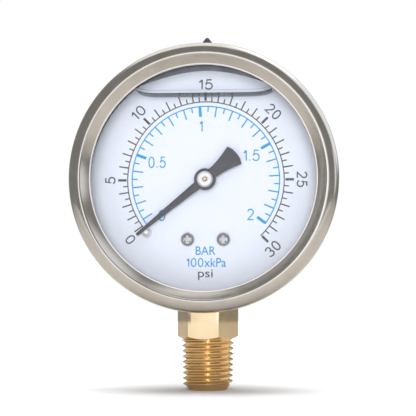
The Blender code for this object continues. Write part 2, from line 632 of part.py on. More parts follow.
def make_socket():
    """Stem, hexagon, neck and block as one brass forging, drilled for the pressure and the screws."""
    socket = make_object("socket", thread_mesh(THREAD_LENGTH + THREAD_OVERLAP), BRASS, Vector())
    side = [(BLOCK_FRONT, BLOCK_BOTTOM), (BLOCK_BACK, BLOCK_BOTTOM), (BLOCK_BACK, BLOCK_TOP)]
    side += [(TONGUE_BACK, BLOCK_TOP), (TONGUE_BACK, TONGUE_TOP), (BLOCK_FRONT, TONGUE_TOP)]
    block = plate("block", side, -BLOCK_HALF, BLOCK_HALF, BRASS, Vector(), "X")
    for body in (make_hexagon(), make_neck(), block):
        combine(socket, body, "UNION")
    passage_height = DIAL_HEIGHT - math.sqrt(TUBE_RADIUS**2 - (BLOCK_HALF - TUBE_ROOT_DEPTH) ** 2)
    restrictor_top = ENTRY_DEPTH + RESTRICTOR_LENGTH + 3 * FACE_GAP
    passage_end = passage_height + CUT_PAST
    bore = [(0, -CUT_PAST), (ENTRY_RADIUS, -CUT_PAST), (ENTRY_RADIUS, ENTRY_DEPTH)]
    bore += [(RESTRICTOR_RADIUS + FACE_GAP, ENTRY_DEPTH), (RESTRICTOR_RADIUS + FACE_GAP, restrictor_top)]
    bore += [(PASSAGE_RADIUS, restrictor_top), (PASSAGE_RADIUS, passage_end), (0, passage_end)]
    combine(socket, turned("bore", bore, BRASS, Vector(), "Z", 20), "DIFFERENCE")
    cross_hole = Vector((0, TUBE_MIDDLE / 2, passage_height))
    drill(socket, PASSAGE_RADIUS * 0.8, -BLOCK_HALF + TUBE_ROOT_DEPTH / 2, 0, cross_hole, "X", 12)
    slot_end = TUBE_ROOT_ANGLE + FACE_GAP / TUBE_RADIUS
    slot_mouth = TUBE_ROOT_ANGLE - 3 * TUBE_ROOT_DEPTH / TUBE_RADIUS
    slot_section = (TUBE_WIDTH / 2 + FACE_GAP, TUBE_THICK / 2 + FACE_GAP)
    slot = tube_mesh(slot_end, slot_mouth, 3, [slot_section])
    combine(socket, make_object("slot", slot, BRASS, DIAL_CENTRE), "DIFFERENCE")
    # Room for the sector's tail and the link's screw to swing, should the block stand high enough
    swing = SECTOR_TAIL + LINK_EYE + FACE_GAP
    swing_back = LINK_BACK + LINK_SCREW_HEAD_HEIGHT + 2 * FACE_GAP
    drill(socket, swing, SECTOR_FRONT - FACE_GAP, swing_back, ARBOR_CENTRE, steps=36)
    for side in (-1, 1):
        place = at(side * DIAL_SCREW_SPREAD, -DIAL_SCREW_DROP, BLOCK_FRONT)
        drill(socket, DIAL_SCREW_SHANK + PIVOT_GAP, -CUT_PAST, DIAL_SCREW_GRIP + FACE_GAP, place)
        place = at(side * DIAL_SCREW_SPREAD, -MOVEMENT_SCREW_DROP, TONGUE_BACK)
        drill(socket, DIAL_SCREW_SHANK + PIVOT_GAP, -MOVEMENT_SCREW_GRIP - FACE_GAP, CUT_PAST, place)
        depth = BACK_SCREW_LENGTH - BACK_SEAL_THICK - 2 * FACE_GAP
        drill(socket, BACK_SCREW_SHANK + PIVOT_GAP, -depth - FACE_GAP, CUT_PAST, back_screw_place(side))


def make_restrictor():
    """The slotted screw with a pin hole that damps the flow into the tube."""
    low = ENTRY_DEPTH + FACE_GAP
    high = low + RESTRICTOR_LENGTH
    hole = RESTRICTOR_HOLE_RADIUS
    outline = [(hole, low), (RESTRICTOR_RADIUS, low), (RESTRICTOR_RADIUS, high), (hole, high)]
    made = turned("restrictor_screw", outline, SCREW_STEEL, Vector(), "Z", 16)
    reach = RESTRICTOR_RADIUS * SLIT_REACH
    slit = RESTRICTOR_SLOT_HALF
    slot = [(-reach, -slit), (reach, -slit), (reach, slit), (-reach, slit)]
    cutter = plate("slot", slot, low - CUT_PAST, low + RESTRICTOR_SLOT_DEPTH, STEEL, Vector(), "Z")
    combine(made, cutter, "DIFFERENCE")


# Bourdon tube


def oval(half_width, half_thick, count=10):
    """A flattened tube's section, as (outward, along Y) offsets."""
    points = []
    for index in range(count):
        angle = TAU * (index + 0.5) / count
        outward = math.copysign(abs(math.cos(angle)) ** TUBE_EDGE_POWER, math.cos(angle))
        across = math.copysign(abs(math.sin(angle)) ** TUBE_FLAT_POWER, math.sin(angle))
        points.append((half_thick * outward, half_width * across))
    return points


def tube_mesh(start, end, steps, sections):
    """A bent bar from one angle to another, solid with one section, and hollow with a second inside it."""
    mesh = bmesh.new()
    skins = []
    for half_width, half_thick in sections:
        rings = []
        for step in range(steps + 1):
            angle = start + (end - start) * step / steps
            ring = []
            for outward, across in oval(half_width, half_thick):
                x, z = on_dial(TUBE_RADIUS + outward, angle)
                ring.append(mesh.verts.new((x, TUBE_MIDDLE + across, z)))
            rings.append(ring)
        for ring, after in zip(rings, rings[1:]):
            for index in range(len(ring)):
                follow = (index + 1) % len(ring)
                mesh.faces.new([ring[index], ring[follow], after[follow], after[index]])
        skins.append(rings)
    for end_ring in (0, -1):
        if len(skins) == 1:
            mesh.faces.new(skins[0][end_ring])
            continue
        outer = skins[0][end_ring]
        inner = skins[1][end_ring]
        for index in range(len(outer)):
            follow = (index + 1) % len(outer)
            mesh.faces.new([outer[index], outer[follow], inner[follow], inner[index]])
    return mesh


def make_bourdon_tube():
    """The flattened tube bent round the movement from the block, clockwise over the top."""
    outer = (TUBE_WIDTH / 2, TUBE_THICK / 2)
    inner = (TUBE_WIDTH / 2 - TUBE_WALL, TUBE_THICK / 2 - TUBE_WALL)
    mesh = tube_mesh(TUBE_ROOT_ANGLE, TUBE_TIP_ANGLE, 36, [outer, inner])
    make_object("bourdon_tube", mesh, SPRING_BRONZE, DIAL_CENTRE)


def tube_frame(onward, outward):
    """A point measured from the tube's end, onward along the tube and outward from the dial's centre."""
    return tuple(TUBE_END + onward * TUBE_ONWARD + outward * TUBE_OUTWARD)


def make_tube_tip():
    """The brass end piece: a plug in the tube, a block across it and an ear for the link's pin."""
    half = TUBE_THICK / 2
    low = TUBE_MIDDLE - TUBE_WIDTH / 2
    high = TUBE_MIDDLE + TUBE_WIDTH / 2
    body = [tube_frame(FACE_GAP, -half), tube_frame(FACE_GAP, half)]
    body += [tube_frame(TIP_LENGTH, half), tube_frame(TIP_LENGTH, -half)]
    tip = plate("tube_tip", body, low, high, BRASS)
    thin = half - TUBE_WALL - FACE_GAP
    inset = TUBE_WALL + FACE_GAP
    plug = [tube_frame(-TIP_PLUG, -thin), tube_frame(-TIP_PLUG, thin)]
    plug += [tube_frame(TIP_LENGTH / 2, thin), tube_frame(TIP_LENGTH / 2, -thin)]
    ear = [tube_frame(TIP_LENGTH / 2, half), tube_frame(TIP_LENGTH / 2, -half * 1.2)]
    ear += arc(*TIP_PIVOT, LINK_EYE, TUBE_TIP_ANGLE + TAU / 2, TUBE_TIP_ANGLE + TAU, 8)
    combine(tip, plate("plug", plug, low + inset * 2, high - inset * 2, BRASS), "UNION")
    combine(tip, plate("ear", ear, TIP_EAR_FRONT, TIP_EAR_BACK, BRASS), "UNION")
    drill(tip, PIN_RADIUS + PIVOT_GAP, TIP_EAR_FRONT - CUT_PAST, TIP_EAR_BACK + CUT_PAST, at(*TIP_PIVOT))
    seat = LINK_FRONT - FACE_GAP
    rivet = [(0, seat - TIP_PIN_HEAD_HEIGHT), (TIP_PIN_HEAD, seat - TIP_PIN_HEAD_HEIGHT)]
    rivet += [(TIP_PIN_HEAD, seat), (PIN_RADIUS, seat)]
    rivet += [(PIN_RADIUS, TIP_EAR_BACK + FACE_GAP), (0, TIP_EAR_BACK + FACE_GAP)]
    turned("tip_pin", rivet, SCREW_STEEL, at(*TIP_PIVOT))


# Dial and pointer


def stop_pin_place():
    """The pin stands where its post meets the pointer's lower edge at rest."""
    reach = STOP_PIN_POST + pointer_half_width(STOP_PIN_DISTANCE) + PIVOT_GAP
    angle = POINTER_REST + math.asin(reach / STOP_PIN_DISTANCE)
    return on_dial(STOP_PIN_DISTANCE, angle)


def make_dial():
    """The round plate with its holes, the screws that hold it and the stop pin."""
    rim = dial_rim()
    back = DIAL_FRONT + DIAL_THICK
    outline = [(0, DIAL_FRONT), (rim, DIAL_FRONT), (rim, back), (0, back)]
    dial = turned("dial_plate", outline, WHITE_PAINT, steps=LARGE_STEPS)
    low = DIAL_FRONT - CUT_PAST
    high = back + CUT_PAST
    drill(dial, DIAL_HOLE_RADIUS, low, high)
    for side, word in ((-1, "left"), (1, "right")):
        place = at(side * DIAL_SCREW_SPREAD, -DIAL_SCREW_DROP)
        drill(dial, DIAL_SCREW_SHANK + PIVOT_GAP, low, high, place)
        seat = place + Vector((0, DIAL_FRONT - FACE_GAP, 0))
        length = DIAL_THICK + 2 * FACE_GAP + DIAL_SCREW_GRIP
        head = (DIAL_SCREW_HEAD, DIAL_SCREW_HEAD_HEIGHT)
        screw("dial_screw_" + word, seat, *head, DIAL_SCREW_SHANK, length, -1, True)
    x, z = stop_pin_place()
    spigot = STOP_PIN_SPIGOT
    drill(dial, spigot + PIVOT_GAP, low, high, at(x, z))
    seat = DIAL_FRONT - FACE_GAP
    dome = POINTER_BACK + FACE_GAP
    post_end = POINTER_FRONT - FACE_GAP
    outline = [(0, post_end), (STOP_PIN_POST, post_end), (STOP_PIN_POST, dome)]
    outline += [(STOP_PIN_HEAD * STOP_PIN_CROWN, dome + STOP_PIN_CROWN_FALL)]
    outline += [(STOP_PIN_HEAD, dome + STOP_PIN_EDGE_FALL), (STOP_PIN_HEAD, seat)]
    outline += [(spigot, seat), (spigot, back - STOP_PIN_SHORT), (0, back - STOP_PIN_SHORT)]
    turned("stop_pin", outline, SCREW_STEEL, at(x, z), steps=16)


def pointer_half_width(distance):
    """Half the blade's width at this distance from the pointer's axis."""
    share = (distance - POINTER_DISC_RADIUS) / (POINTER_LENGTH - POINTER_DISC_RADIUS)
    return POINTER_HALF_AT_HUB + (POINTER_HALF_AT_TIP - POINTER_HALF_AT_HUB) * share


def pointer_outline():
    """Blade towards +X, round disc, and a tail that flares towards -X."""
    blade = math.asin(POINTER_HALF_AT_HUB / POINTER_DISC_RADIUS)
    neck = math.asin(TAIL_NECK_HALF / POINTER_DISC_RADIUS)
    upper = [(POINTER_LENGTH, POINTER_HALF_AT_TIP)]
    upper += arc(0, 0, POINTER_DISC_RADIUS, blade, TAU / 2 - neck, 6)
    neck_x = POINTER_DISC_RADIUS * math.cos(neck)
    corner_x = TAIL_CORNER * math.cos(TAIL_END_HALF_ANGLE)
    corner_half = TAIL_CORNER * math.sin(TAIL_END_HALF_ANGLE)
    for step in range(1, 7):
        share = step / 6
        flare = TAIL_NECK_HALF + (corner_half - TAIL_NECK_HALF) * share**TAIL_FLARE
        upper.append((-neck_x - (corner_x - neck_x) * share, flare))
    upper.append((-POINTER_TAIL * math.cos(TAIL_END_HALF_ANGLE / 2), corner_half / 2))
    return upper + [(-POINTER_TAIL, 0)] + [(x, -z) for x, z in upper[::-1]]


def make_pointer():
    """The black pointer and its bright bush, which is pressed on the pinion's shaft."""
    turn = Matrix.Rotation(POINTER_REST, 2)
    outline = [tuple(turn @ Vector(point)) for point in pointer_outline()]
    pointer = plate("pointer", outline, POINTER_FRONT, POINTER_BACK, BLACK_PAINT)
    drill(pointer, HUB_BARREL_RADIUS + PIVOT_GAP, POINTER_FRONT - CUT_PAST, POINTER_BACK + CUT_PAST)
    seat = POINTER_FRONT - PIVOT_GAP
    front = seat - HUB_HEAD_THICK
    bore = SHAFT_RADIUS
    end = POINTER_BACK + HUB_BARREL_PAST
    bush = [(bore, front), (HUB_RADIUS * HUB_FACE_SHARE, front), (HUB_RADIUS, front + HUB_EDGE)]
    bush += [(HUB_RADIUS, seat), (HUB_BARREL_RADIUS, seat), (HUB_BARREL_RADIUS, end), (bore, end)]
    turned("pointer_hub", bush, SCREW_STEEL, steps=24)


# Movement


def gear_arc(pitch_radius, teeth, first, count, middle, flip):
    """Points along a toothed rim, tooth by tooth, turning anticlockwise from the first tooth."""
    pitch = TAU / teeth
    tooth = TOOTH_SHARE * pitch
    root = pitch_radius - DEDENDUM
    tip = pitch_radius + ADDENDUM
    lean = TOOTH_LEAN / pitch_radius
    points = []
    for index in range(count):
        angle = middle + (first + index) * pitch
        points.append(on_dial(root, angle - tooth / 2 - lean * DEDENDUM))
        points.append(on_dial(tip, angle - tooth / 2 + lean * ADDENDUM))
        points.append(on_dial(tip, angle + tooth / 2 - lean * ADDENDUM))
        points.append(on_dial(root, angle + tooth / 2 + lean * DEDENDUM))
    return points[::-1] if flip else points


def make_pinion_shaft():
    """The shaft that carries the pointer, with its pinion in the plane of the sector."""
    nose = POINTER_FRONT - PIVOT_GAP - SHAFT_NOSE
    behind_hub = POINTER_BACK + SHAFT_SHOULDER
    thin = SHAFT_RADIUS - SHAFT_NECK
    end = BACK_PLATE_BACK + FACE_GAP
    step_back = BACK_PLATE_FRONT - 2 * FACE_GAP
    outline = [(0, nose), (PIN_RADIUS, nose), (thin, behind_hub), (SHAFT_RADIUS, behind_hub)]
    outline += [(SHAFT_RADIUS, step_back), (PIN_RADIUS, step_back), (PIN_RADIUS, end), (0, end)]
    shaft = turned("pinion_shaft", outline, BRASS)
    rim = gear_arc(PITCH_RADIUS, PINION_TEETH, 0.5, PINION_TEETH, -TAU / 4, False)
    pinion = plate("pinion", rim, SECTOR_FRONT - PINION_MARGIN, SECTOR_BACK + PINION_MARGIN, BRASS)
    combine(shaft, pinion, "UNION")


def make_sector():
    """The toothed sector, its arbor, and the screw that ties its tail to the link."""
    teeth = PINION_TEETH * GEAR_RATIO
    rim = gear_arc(SECTOR_RADIUS, teeth, SECTOR_FIRST_TOOTH, SECTOR_TEETH, TAU / 4, True)
    spread = TAU / teeth
    left = TAU / 4 + (SECTOR_FIRST_TOOTH + SECTOR_TEETH) * spread
    right = TAU / 4 + (SECTOR_FIRST_TOOTH - 1) * spread
    hub = SECTOR_HUB
    root = SECTOR_RADIUS - DEDENDUM
    tail = SECTOR_TAIL_ANGLE
    half = TAU / 8
    outline = [on_dial(root, left)] + rim + [on_dial(root, right)]
    outline += arc(0, 0, hub, right - half, tail + half, 4)
    tail_end = Vector(on_dial(SECTOR_TAIL, tail))
    outline += arc(*tail_end, LINK_EYE, tail + TAU / 5, tail - TAU / 5, 6)
    outline += arc(0, 0, hub, tail - half, left + half - TAU, 5)
    sector = plate("sector_gear", outline, SECTOR_FRONT, SECTOR_BACK, BRASS, ARBOR_CENTRE)
    low = SECTOR_FRONT - CUT_PAST
    high = SECTOR_BACK + CUT_PAST
    drill(sector, ARBOR_RADIUS + PIVOT_GAP, low, high, ARBOR_CENTRE)
    drill(sector, PIN_RADIUS + PIVOT_GAP, low, high, at(*TAIL_PIVOT))
    window = arc(0, 0, hub + SECTOR_SPOKE, right + spread * 2.6, left - spread * 2.6, 4)
    window += arc(0, 0, root - SECTOR_RIM, left - spread * 1.6, right + spread * 1.6, 8)
    combine(sector, plate("window_cut", window, low, high, BRASS, ARBOR_CENTRE), "DIFFERENCE")
    step_front = FRONT_PLATE_BACK + FACE_GAP
    step_back = BACK_PLATE_FRONT - FACE_GAP
    front = FRONT_PLATE_FRONT
    back = BACK_PLATE_BACK + FACE_GAP
    outline = [(0, front), (PIN_RADIUS, front), (PIN_RADIUS, step_front), (ARBOR_RADIUS, step_front)]
    outline += [(ARBOR_RADIUS, step_back), (PIN_RADIUS, step_back), (PIN_RADIUS, back), (0, back)]
    turned("sector_arbor", outline, SCREW_STEEL, ARBOR_CENTRE)
    seat = at(*TAIL_PIVOT, LINK_BACK + FACE_GAP)
    length = LINK_BACK + 2 * FACE_GAP - SECTOR_FRONT
    screw("link_screw", seat, LINK_SCREW_HEAD, LINK_SCREW_HEAD_HEIGHT, PIN_RADIUS, length, 1)


def make_link():
    """The flat link from the tube's tip to the sector's tail."""
    start = TAIL_PIVOT
    end = TIP_PIVOT
    aim = math.atan2(end.y - start.y, end.x - start.x)
    outline = arc(*end, LINK_EYE, aim - TAU / 3, aim + TAU / 3, 8)
    outline += arc(*start, LINK_EYE, aim + TAU / 6, aim + TAU * 5 / 6, 8)
    link = plate("link", outline, LINK_FRONT, LINK_BACK, BRASS)
    low = LINK_FRONT - CUT_PAST
    high = LINK_BACK + CUT_PAST
    drill(link, PIN_RADIUS + PIVOT_GAP, low, high, at(*start))
    drill(link, PIN_RADIUS + OPEN_PIVOT_GAP, low, high, at(*end))


def make_plates():
    """The movement's two plates with their bearing holes, pillars and screws."""
    wing = PILLAR_SPREAD + PLATE_WING
    waist = BLOCK_HALF
    waist_top = -ARBOR_DROP - PLATE_WAIST_DROP
    foot = BLOCK_TOP + FACE_GAP - DIAL_HEIGHT
    arm_top = PLATE_TOP - PLATE_ARM
    arm_low = -PILLAR_DROP - PLATE_ARM
    head = [(wing, arm_low), (wing, arm_top), (PLATE_TOP_HALF, PLATE_TOP)]
    head += [(-PLATE_TOP_HALF, PLATE_TOP), (-wing, arm_top), (-wing, arm_low)]
    corners = [(-waist, foot), (waist, foot), (waist, waist_top), *head, (-waist, waist_top)]
    outline = rounded(corners, PLATE_CORNER, 2)
    front = plate("movement_front_plate", outline, FRONT_PLATE_FRONT, FRONT_PLATE_BACK, BRASS)
    foot = -ARBOR_DROP - PLATE_FOOT_DROP
    outline = rounded([(-PLATE_FOOT_HALF, foot), (PLATE_FOOT_HALF, foot), *head], PLATE_CORNER, 2)
    back = plate("movement_back_plate", outline, BACK_PLATE_FRONT, BACK_PLATE_BACK, BRASS)
    through_front = (FRONT_PLATE_FRONT - CUT_PAST, FRONT_PLATE_BACK + CUT_PAST)
    through_back = (BACK_PLATE_FRONT - CUT_PAST, BACK_PLATE_BACK + CUT_PAST)
    drill(front, SHAFT_RADIUS + PIVOT_GAP, *through_front)
    drill(back, PIN_RADIUS + PIVOT_GAP, *through_back)
    drill(front, PIN_RADIUS + PIVOT_GAP, *through_front, ARBOR_CENTRE)
    drill(back, PIN_RADIUS + PIVOT_GAP, *through_back, ARBOR_CENTRE)
    spigot = PILLAR_SPIGOT
    for side, word in ((-1, "left"), (1, "right")):
        place = at(side * PILLAR_SPREAD, -PILLAR_DROP)
        drill(front, spigot + PIVOT_GAP, *through_front, place)
        drill(back, spigot + PIVOT_GAP, *through_back, place)
        low = FRONT_PLATE_BACK + FACE_GAP
        high = BACK_PLATE_FRONT - FACE_GAP
        bore = spigot + PIVOT_GAP
        bore_end = high - PILLAR_BORE_DEPTH
        outline = [(0, FRONT_PLATE_FRONT), (spigot, FRONT_PLATE_FRONT), (spigot, low), (PILLAR_RADIUS, low)]
        outline += [(PILLAR_RADIUS, high), (bore, high), (bore, bore_end), (0, bore_end)]
        turned("pillar_" + word, outline, BRASS, place)
        seat = place + Vector((0, BACK_PLATE_BACK + FACE_GAP, 0))
        head = (PLATE_SCREW_HEAD, PLATE_SCREW_HEAD_HEIGHT)
        screw("plate_screw_" + word, seat, *head, spigot, PLATE_THICK + PLATE_SCREW_GRIP, 1)
        place = at(side * DIAL_SCREW_SPREAD, -MOVEMENT_SCREW_DROP)
        drill(front, DIAL_SCREW_SHANK + PIVOT_GAP, *through_front, place)
        seat = place + Vector((0, FRONT_PLATE_BACK + FACE_GAP, 0))
        length = PLATE_THICK + 2 * FACE_GAP + MOVEMENT_SCREW_GRIP
        head = (MOVEMENT_SCREW_HEAD, MOVEMENT_SCREW_HEAD_HEIGHT)
        screw("movement_screw_" + word, seat, *head, DIAL_SCREW_SHANK, length, 1)


def make_hairspring():
    """The flat spiral spring, its collet on the shaft and its stud on the back plate."""
    low = LINK_BACK + PIVOT_GAP
    high = low + HAIRSPRING_HEIGHT
    steps = round(HAIRSPRING_TURNS * 14)
    mesh = bmesh.new()
    rings = []
    for step in range(steps + 1):
        share = step / steps
        angle = HAIRSPRING_END - TAU * HAIRSPRING_TURNS * (1 - share)
        radius = HAIRSPRING_INNER + (HAIRSPRING_OUTER - HAIRSPRING_INNER) * share
        ring = []
        for across, height in ((-1, low), (1, low), (1, high), (-1, high)):
            x, z = on_dial(radius + across * HAIRSPRING_STRIP / 2, angle)
            ring.append(mesh.verts.new((x, height, z)))
        rings.append(ring)
    for ring, after in zip(rings, rings[1:]):
        for index in range(4):
            follow = (index + 1) % 4
            mesh.faces.new([ring[index], ring[follow], after[follow], after[index]])
    mesh.faces.new(rings[0])
    mesh.faces.new(rings[-1])
    make_object("hairspring", mesh, SPRING_BRONZE, DIAL_CENTRE)
    bore = SHAFT_RADIUS + PIVOT_GAP
    rim = HAIRSPRING_INNER - HAIRSPRING_STRIP - PIVOT_GAP
    collet = [(bore, low), (rim, low), (rim, high), (bore, high)]
    turned("hairspring_collet", collet, BRASS, steps=16)
    stud = HAIRSPRING_STUD
    distance = HAIRSPRING_OUTER + HAIRSPRING_STRIP / 2 + stud + PIVOT_GAP
    ends = (low - PIVOT_GAP, BACK_PLATE_FRONT - FACE_GAP)
    post = [(0, ends[0]), (stud, ends[0]), (stud, ends[1]), (0, ends[1])]
    turned("hairspring_stud", post, BRASS, at(*on_dial(distance, HAIRSPRING_END)))


def main():
    for leftover in list(bpy.data.objects):
        bpy.data.objects.remove(leftover)
    make_case()
    make_back_screws()
    make_bezel()
    make_window()
    make_filler_plug()
    make_socket()
    make_restrictor()
    make_bourdon_tube()
    make_tube_tip()
    make_dial()
    make_pointer()
    make_pinion_shaft()
    make_sector()
    make_link()
    make_plates()
    make_hairspring()


main()
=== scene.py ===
# %% [markdown]
# # A liquid-filled pressure gauge
#
# The gauge is a steel case with a rolled bezel, a glass window, a printed dial and a brass stem.
# Behind the dial a curved tube uncurls under pressure and turns the pointer through a small gear
# train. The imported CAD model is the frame: each piece made here takes its place from the CAD nodes,
# rides on one of the CAD bodies, and either replaces a node or gives it a better finish.

import math

import bmesh
import bpy
from mathutils import Matrix, Vector


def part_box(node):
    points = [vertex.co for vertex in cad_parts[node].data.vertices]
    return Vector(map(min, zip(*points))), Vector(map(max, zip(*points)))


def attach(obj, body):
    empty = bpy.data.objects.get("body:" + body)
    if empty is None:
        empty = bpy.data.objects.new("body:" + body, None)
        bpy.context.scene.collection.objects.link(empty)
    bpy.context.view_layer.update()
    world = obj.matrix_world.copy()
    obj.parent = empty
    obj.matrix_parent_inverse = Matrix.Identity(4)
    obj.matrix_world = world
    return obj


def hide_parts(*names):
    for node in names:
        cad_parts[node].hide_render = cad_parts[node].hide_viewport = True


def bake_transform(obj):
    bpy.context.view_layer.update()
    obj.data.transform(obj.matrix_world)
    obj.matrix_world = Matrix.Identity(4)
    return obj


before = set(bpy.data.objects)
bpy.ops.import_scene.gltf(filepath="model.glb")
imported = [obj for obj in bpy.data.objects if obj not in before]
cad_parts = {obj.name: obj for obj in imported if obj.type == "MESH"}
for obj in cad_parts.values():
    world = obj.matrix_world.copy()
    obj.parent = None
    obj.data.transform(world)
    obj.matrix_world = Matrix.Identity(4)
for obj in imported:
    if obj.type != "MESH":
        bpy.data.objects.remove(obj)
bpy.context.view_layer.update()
MM = 0.001

window_low, window_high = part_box("window")
DIAL_Z = (window_low.z + window_high.z) / 2
print("dial centre height, mm:", round(DIAL_Z / MM, 2))

# %% [markdown]
# ## The camera
#
# A short telephoto lens keeps the round bezel round. The camera stands about a third of a metre
# away, a little to the right and lower than the dial, so the thickness of the case stays hidden
# behind the ring. It could be aimed with a constraint, but a fixed rotation is simpler to read and
# nothing moves.

# %% Camera
CAMERA_PLACE = Vector((0.0250, -0.3160, 0.0295))
CAMERA_TARGET = Vector((0.0013, -0.0160, DIAL_Z - 0.00778))
LENS = 103.9

camera_data = bpy.data.cameras.new("camera")
camera_data.lens = LENS
camera_data.sensor_width = 36.0
camera_data.clip_start = 0.01
camera_data.clip_end = 20.0
camera = bpy.data.objects.new("camera", camera_data)
camera.location = CAMERA_PLACE
camera.rotation_euler = (CAMERA_TARGET - CAMERA_PLACE).to_track_quat("-Z", "Y").to_euler()
bpy.context.scene.collection.objects.link(camera)
bpy.context.scene.camera = camera
print("camera to dial, mm:", round((CAMERA_TARGET - CAMERA_PLACE).length / MM, 1))

# %% [markdown]
# ## Making a material
#
# Every finish starts from one Principled shader. A small helper makes it, and the others add what
# real surfaces have: an uneven colour, an uneven gloss and a fine relief. Each could be painted on
# an image, but a pattern worked out from the place on the piece stays sharp at any distance and
# needs no file. The patterns read Object coordinates, so they stay with the piece when it moves.

# %% Material helpers
bpy.context.scene.view_settings.view_transform = "Standard"


def new_material(name, colour, roughness, metallic=0.0):
    material = bpy.data.materials.new(name)
    material.use_nodes = True
    shader = material.node_tree.nodes["Principled BSDF"]
    shader.inputs["Base Color"].default_value = (*colour, 1.0)
    shader.inputs["Roughness"].default_value = roughness
    shader.inputs["Metallic"].default_value = metallic
    return material


def add_node(material, kind, **settings):
    node = material.node_tree.nodes.new(kind)
    for key, value in settings.items():
        setattr(node, key, value)
    return node


def wire(material, source, target):
    material.node_tree.links.new(source, target)


def object_position(material):
    """Where a point is on the gauge, in metres from the middle of the stem's foot."""
    return add_node(material, "ShaderNodeTexCoord").outputs["Object"]


def ring_position(material, centre, axis):
    """(distance from the lathe axis, height along it, 0), so a pattern runs round the piece."""
    shift = add_node(material, "ShaderNodeVectorMath", operation="SUBTRACT")
    shift.inputs[1].default_value = centre
    wire(material, object_position(material), shift.inputs[0])
    flat = add_node(material, "ShaderNodeVectorMath", operation="MULTIPLY")
    flat.inputs[1].default_value = (1, 0, 1) if axis == "y" else (1, 1, 0)
    wire(material, shift.outputs[0], flat.inputs[0])
    length = add_node(material, "ShaderNodeVectorMath", operation="LENGTH")
    wire(material, flat.outputs[0], length.inputs[0])
    split = add_node(material, "ShaderNodeSeparateXYZ")
    wire(material, shift.outputs[0], split.inputs[0])
    joined = add_node(material, "ShaderNodeCombineXYZ")
    wire(material, length.outputs["Value"], joined.inputs[0])
    wire(material, split.outputs["Y" if axis == "y" else "Z"], joined.inputs[1])
    return joined.outputs[0]


def noise(material, vector, scale, detail=3.0):
    texture = add_node(material, "ShaderNodeTexNoise")
    texture.inputs["Scale"].default_value = scale
    texture.inputs["Detail"].default_value = detail
    wire(material, vector, texture.inputs["Vector"])
    return texture.outputs["Fac"]


NOISE_SPREAD = (0.3, 0.7)  # nearly all of a noise texture's values lie between these


def spread(material, value, low=0.0, high=1.0, between=NOISE_SPREAD):
    """Stretches a value that lies between two numbers onto the range low to high."""
    ramp = add_node(material, "ShaderNodeMapRange")
    ramp.inputs["From Min"].default_value = between[0]
    ramp.inputs["From Max"].default_value = between[1]
    ramp.inputs["To Min"].default_value = low
    ramp.inputs["To Max"].default_value = high
    wire(material, value, ramp.inputs["Value"])
    return ramp.outputs["Result"]


# A Mix node's inputs share names, so its colours go by number.
COLOUR_A, COLOUR_B = 6, 7
COLOUR_OUT = 2


def two_colours(material, factor, first, second):
    """A mix of two colours, each a plain colour or another node's output."""
    mix = add_node(material, "ShaderNodeMix", data_type="RGBA")
    wire(material, factor, mix.inputs["Factor"])
    for socket, colour in ((mix.inputs[COLOUR_A], first), (mix.inputs[COLOUR_B], second)):
        if isinstance(colour, bpy.types.NodeSocket):
            wire(material, colour, socket)
        else:
            socket.default_value = (*colour, 1.0)
    return mix.outputs[COLOUR_OUT]


def tint(material, value, dark, light):
    """Mixes two colours by a noise value and feeds the shader's base colour."""
    shader = material.node_tree.nodes["Principled BSDF"]
    colour = two_colours(material, spread(material, value), dark, light)
    wire(material, colour, shader.inputs["Base Color"])


def relief(material, value, strength, distance):
    """A bump from a value, in metres of depth."""
    bump = add_node(material, "ShaderNodeBump")
    bump.inputs["Strength"].default_value = strength
    bump.inputs["Distance"].default_value = distance
    wire(material, value, bump.inputs["Height"])
    shader = material.node_tree.nodes["Principled BSDF"]
    wire(material, bump.outputs["Normal"], shader.inputs["Normal"])


def gloss(material, value, low, high):
    """Roughness that wanders between two values."""
    shader = material.node_tree.nodes["Principled BSDF"]
    wire(material, spread(material, value, low, high), shader.inputs["Roughness"])

# %% [markdown]
# The metals all come off a lathe, so they share one recipe: fine marks that run round the axis, and
# a slow unevenness of colour and gloss. An anisotropic shader could stretch the highlights instead,
# but marks with a depth of their own also show up close. Steel mirrors almost everything, so its
# colour only tones it.

# %% Metal finishes
DIAL_CENTRE = (0.0, 0.0, DIAL_Z)


MARK_STRENGTH = 0.35
CLOUD_SCALE = 220.0


def turned_metal(name, colours, roughness, centre, axis, mark_scale=9000.0, mark_depth=2e-6):
    """Metal off a lathe: marks run round the axis, with a slow unevenness of colour and gloss."""
    material = new_material(name, colours[1], roughness[0], metallic=1.0)
    rings = ring_position(material, centre, axis)
    marks = noise(material, rings, mark_scale, 2.0)
    clouds = noise(material, object_position(material), CLOUD_SCALE)
    gloss(material, clouds, *roughness)
    tint(material, clouds, *colours)
    relief(material, marks, MARK_STRENGTH, mark_depth)
    return material


STEM_CENTRE = (0.0, 0.0, 0.0)
STEEL_COLOURS = ((0.53, 0.515, 0.485), (0.60, 0.585, 0.555))
SCREW_COLOURS = ((0.58, 0.58, 0.58), (0.74, 0.74, 0.74))
HUB_COLOURS = ((0.76, 0.75, 0.74), (0.86, 0.85, 0.84))
BRASS_COLOURS = ((0.80, 0.59, 0.32), (0.90, 0.70, 0.42))
WRENCH_COLOURS = ((0.82, 0.66, 0.43), (0.90, 0.74, 0.50))
BRONZE_COLOURS = ((0.50, 0.27, 0.13), (0.62, 0.36, 0.18))
HUB_METALLIC = 0.45  # only partly, so that it stays paler than what it mirrors
polished_steel = turned_metal("polished_steel", STEEL_COLOURS, (0.13, 0.19), DIAL_CENTRE, "y")
screw_steel = turned_metal("screw_steel", SCREW_COLOURS, (0.28, 0.40), DIAL_CENTRE, "y")
bright_steel = turned_metal("bright_hub", HUB_COLOURS, (0.28, 0.40), DIAL_CENTRE, "y")
bright_steel.node_tree.nodes["Principled BSDF"].inputs["Metallic"].default_value = HUB_METALLIC
socket_brass = turned_metal("socket_brass", BRASS_COLOURS, (0.16, 0.24), STEM_CENTRE, "z")
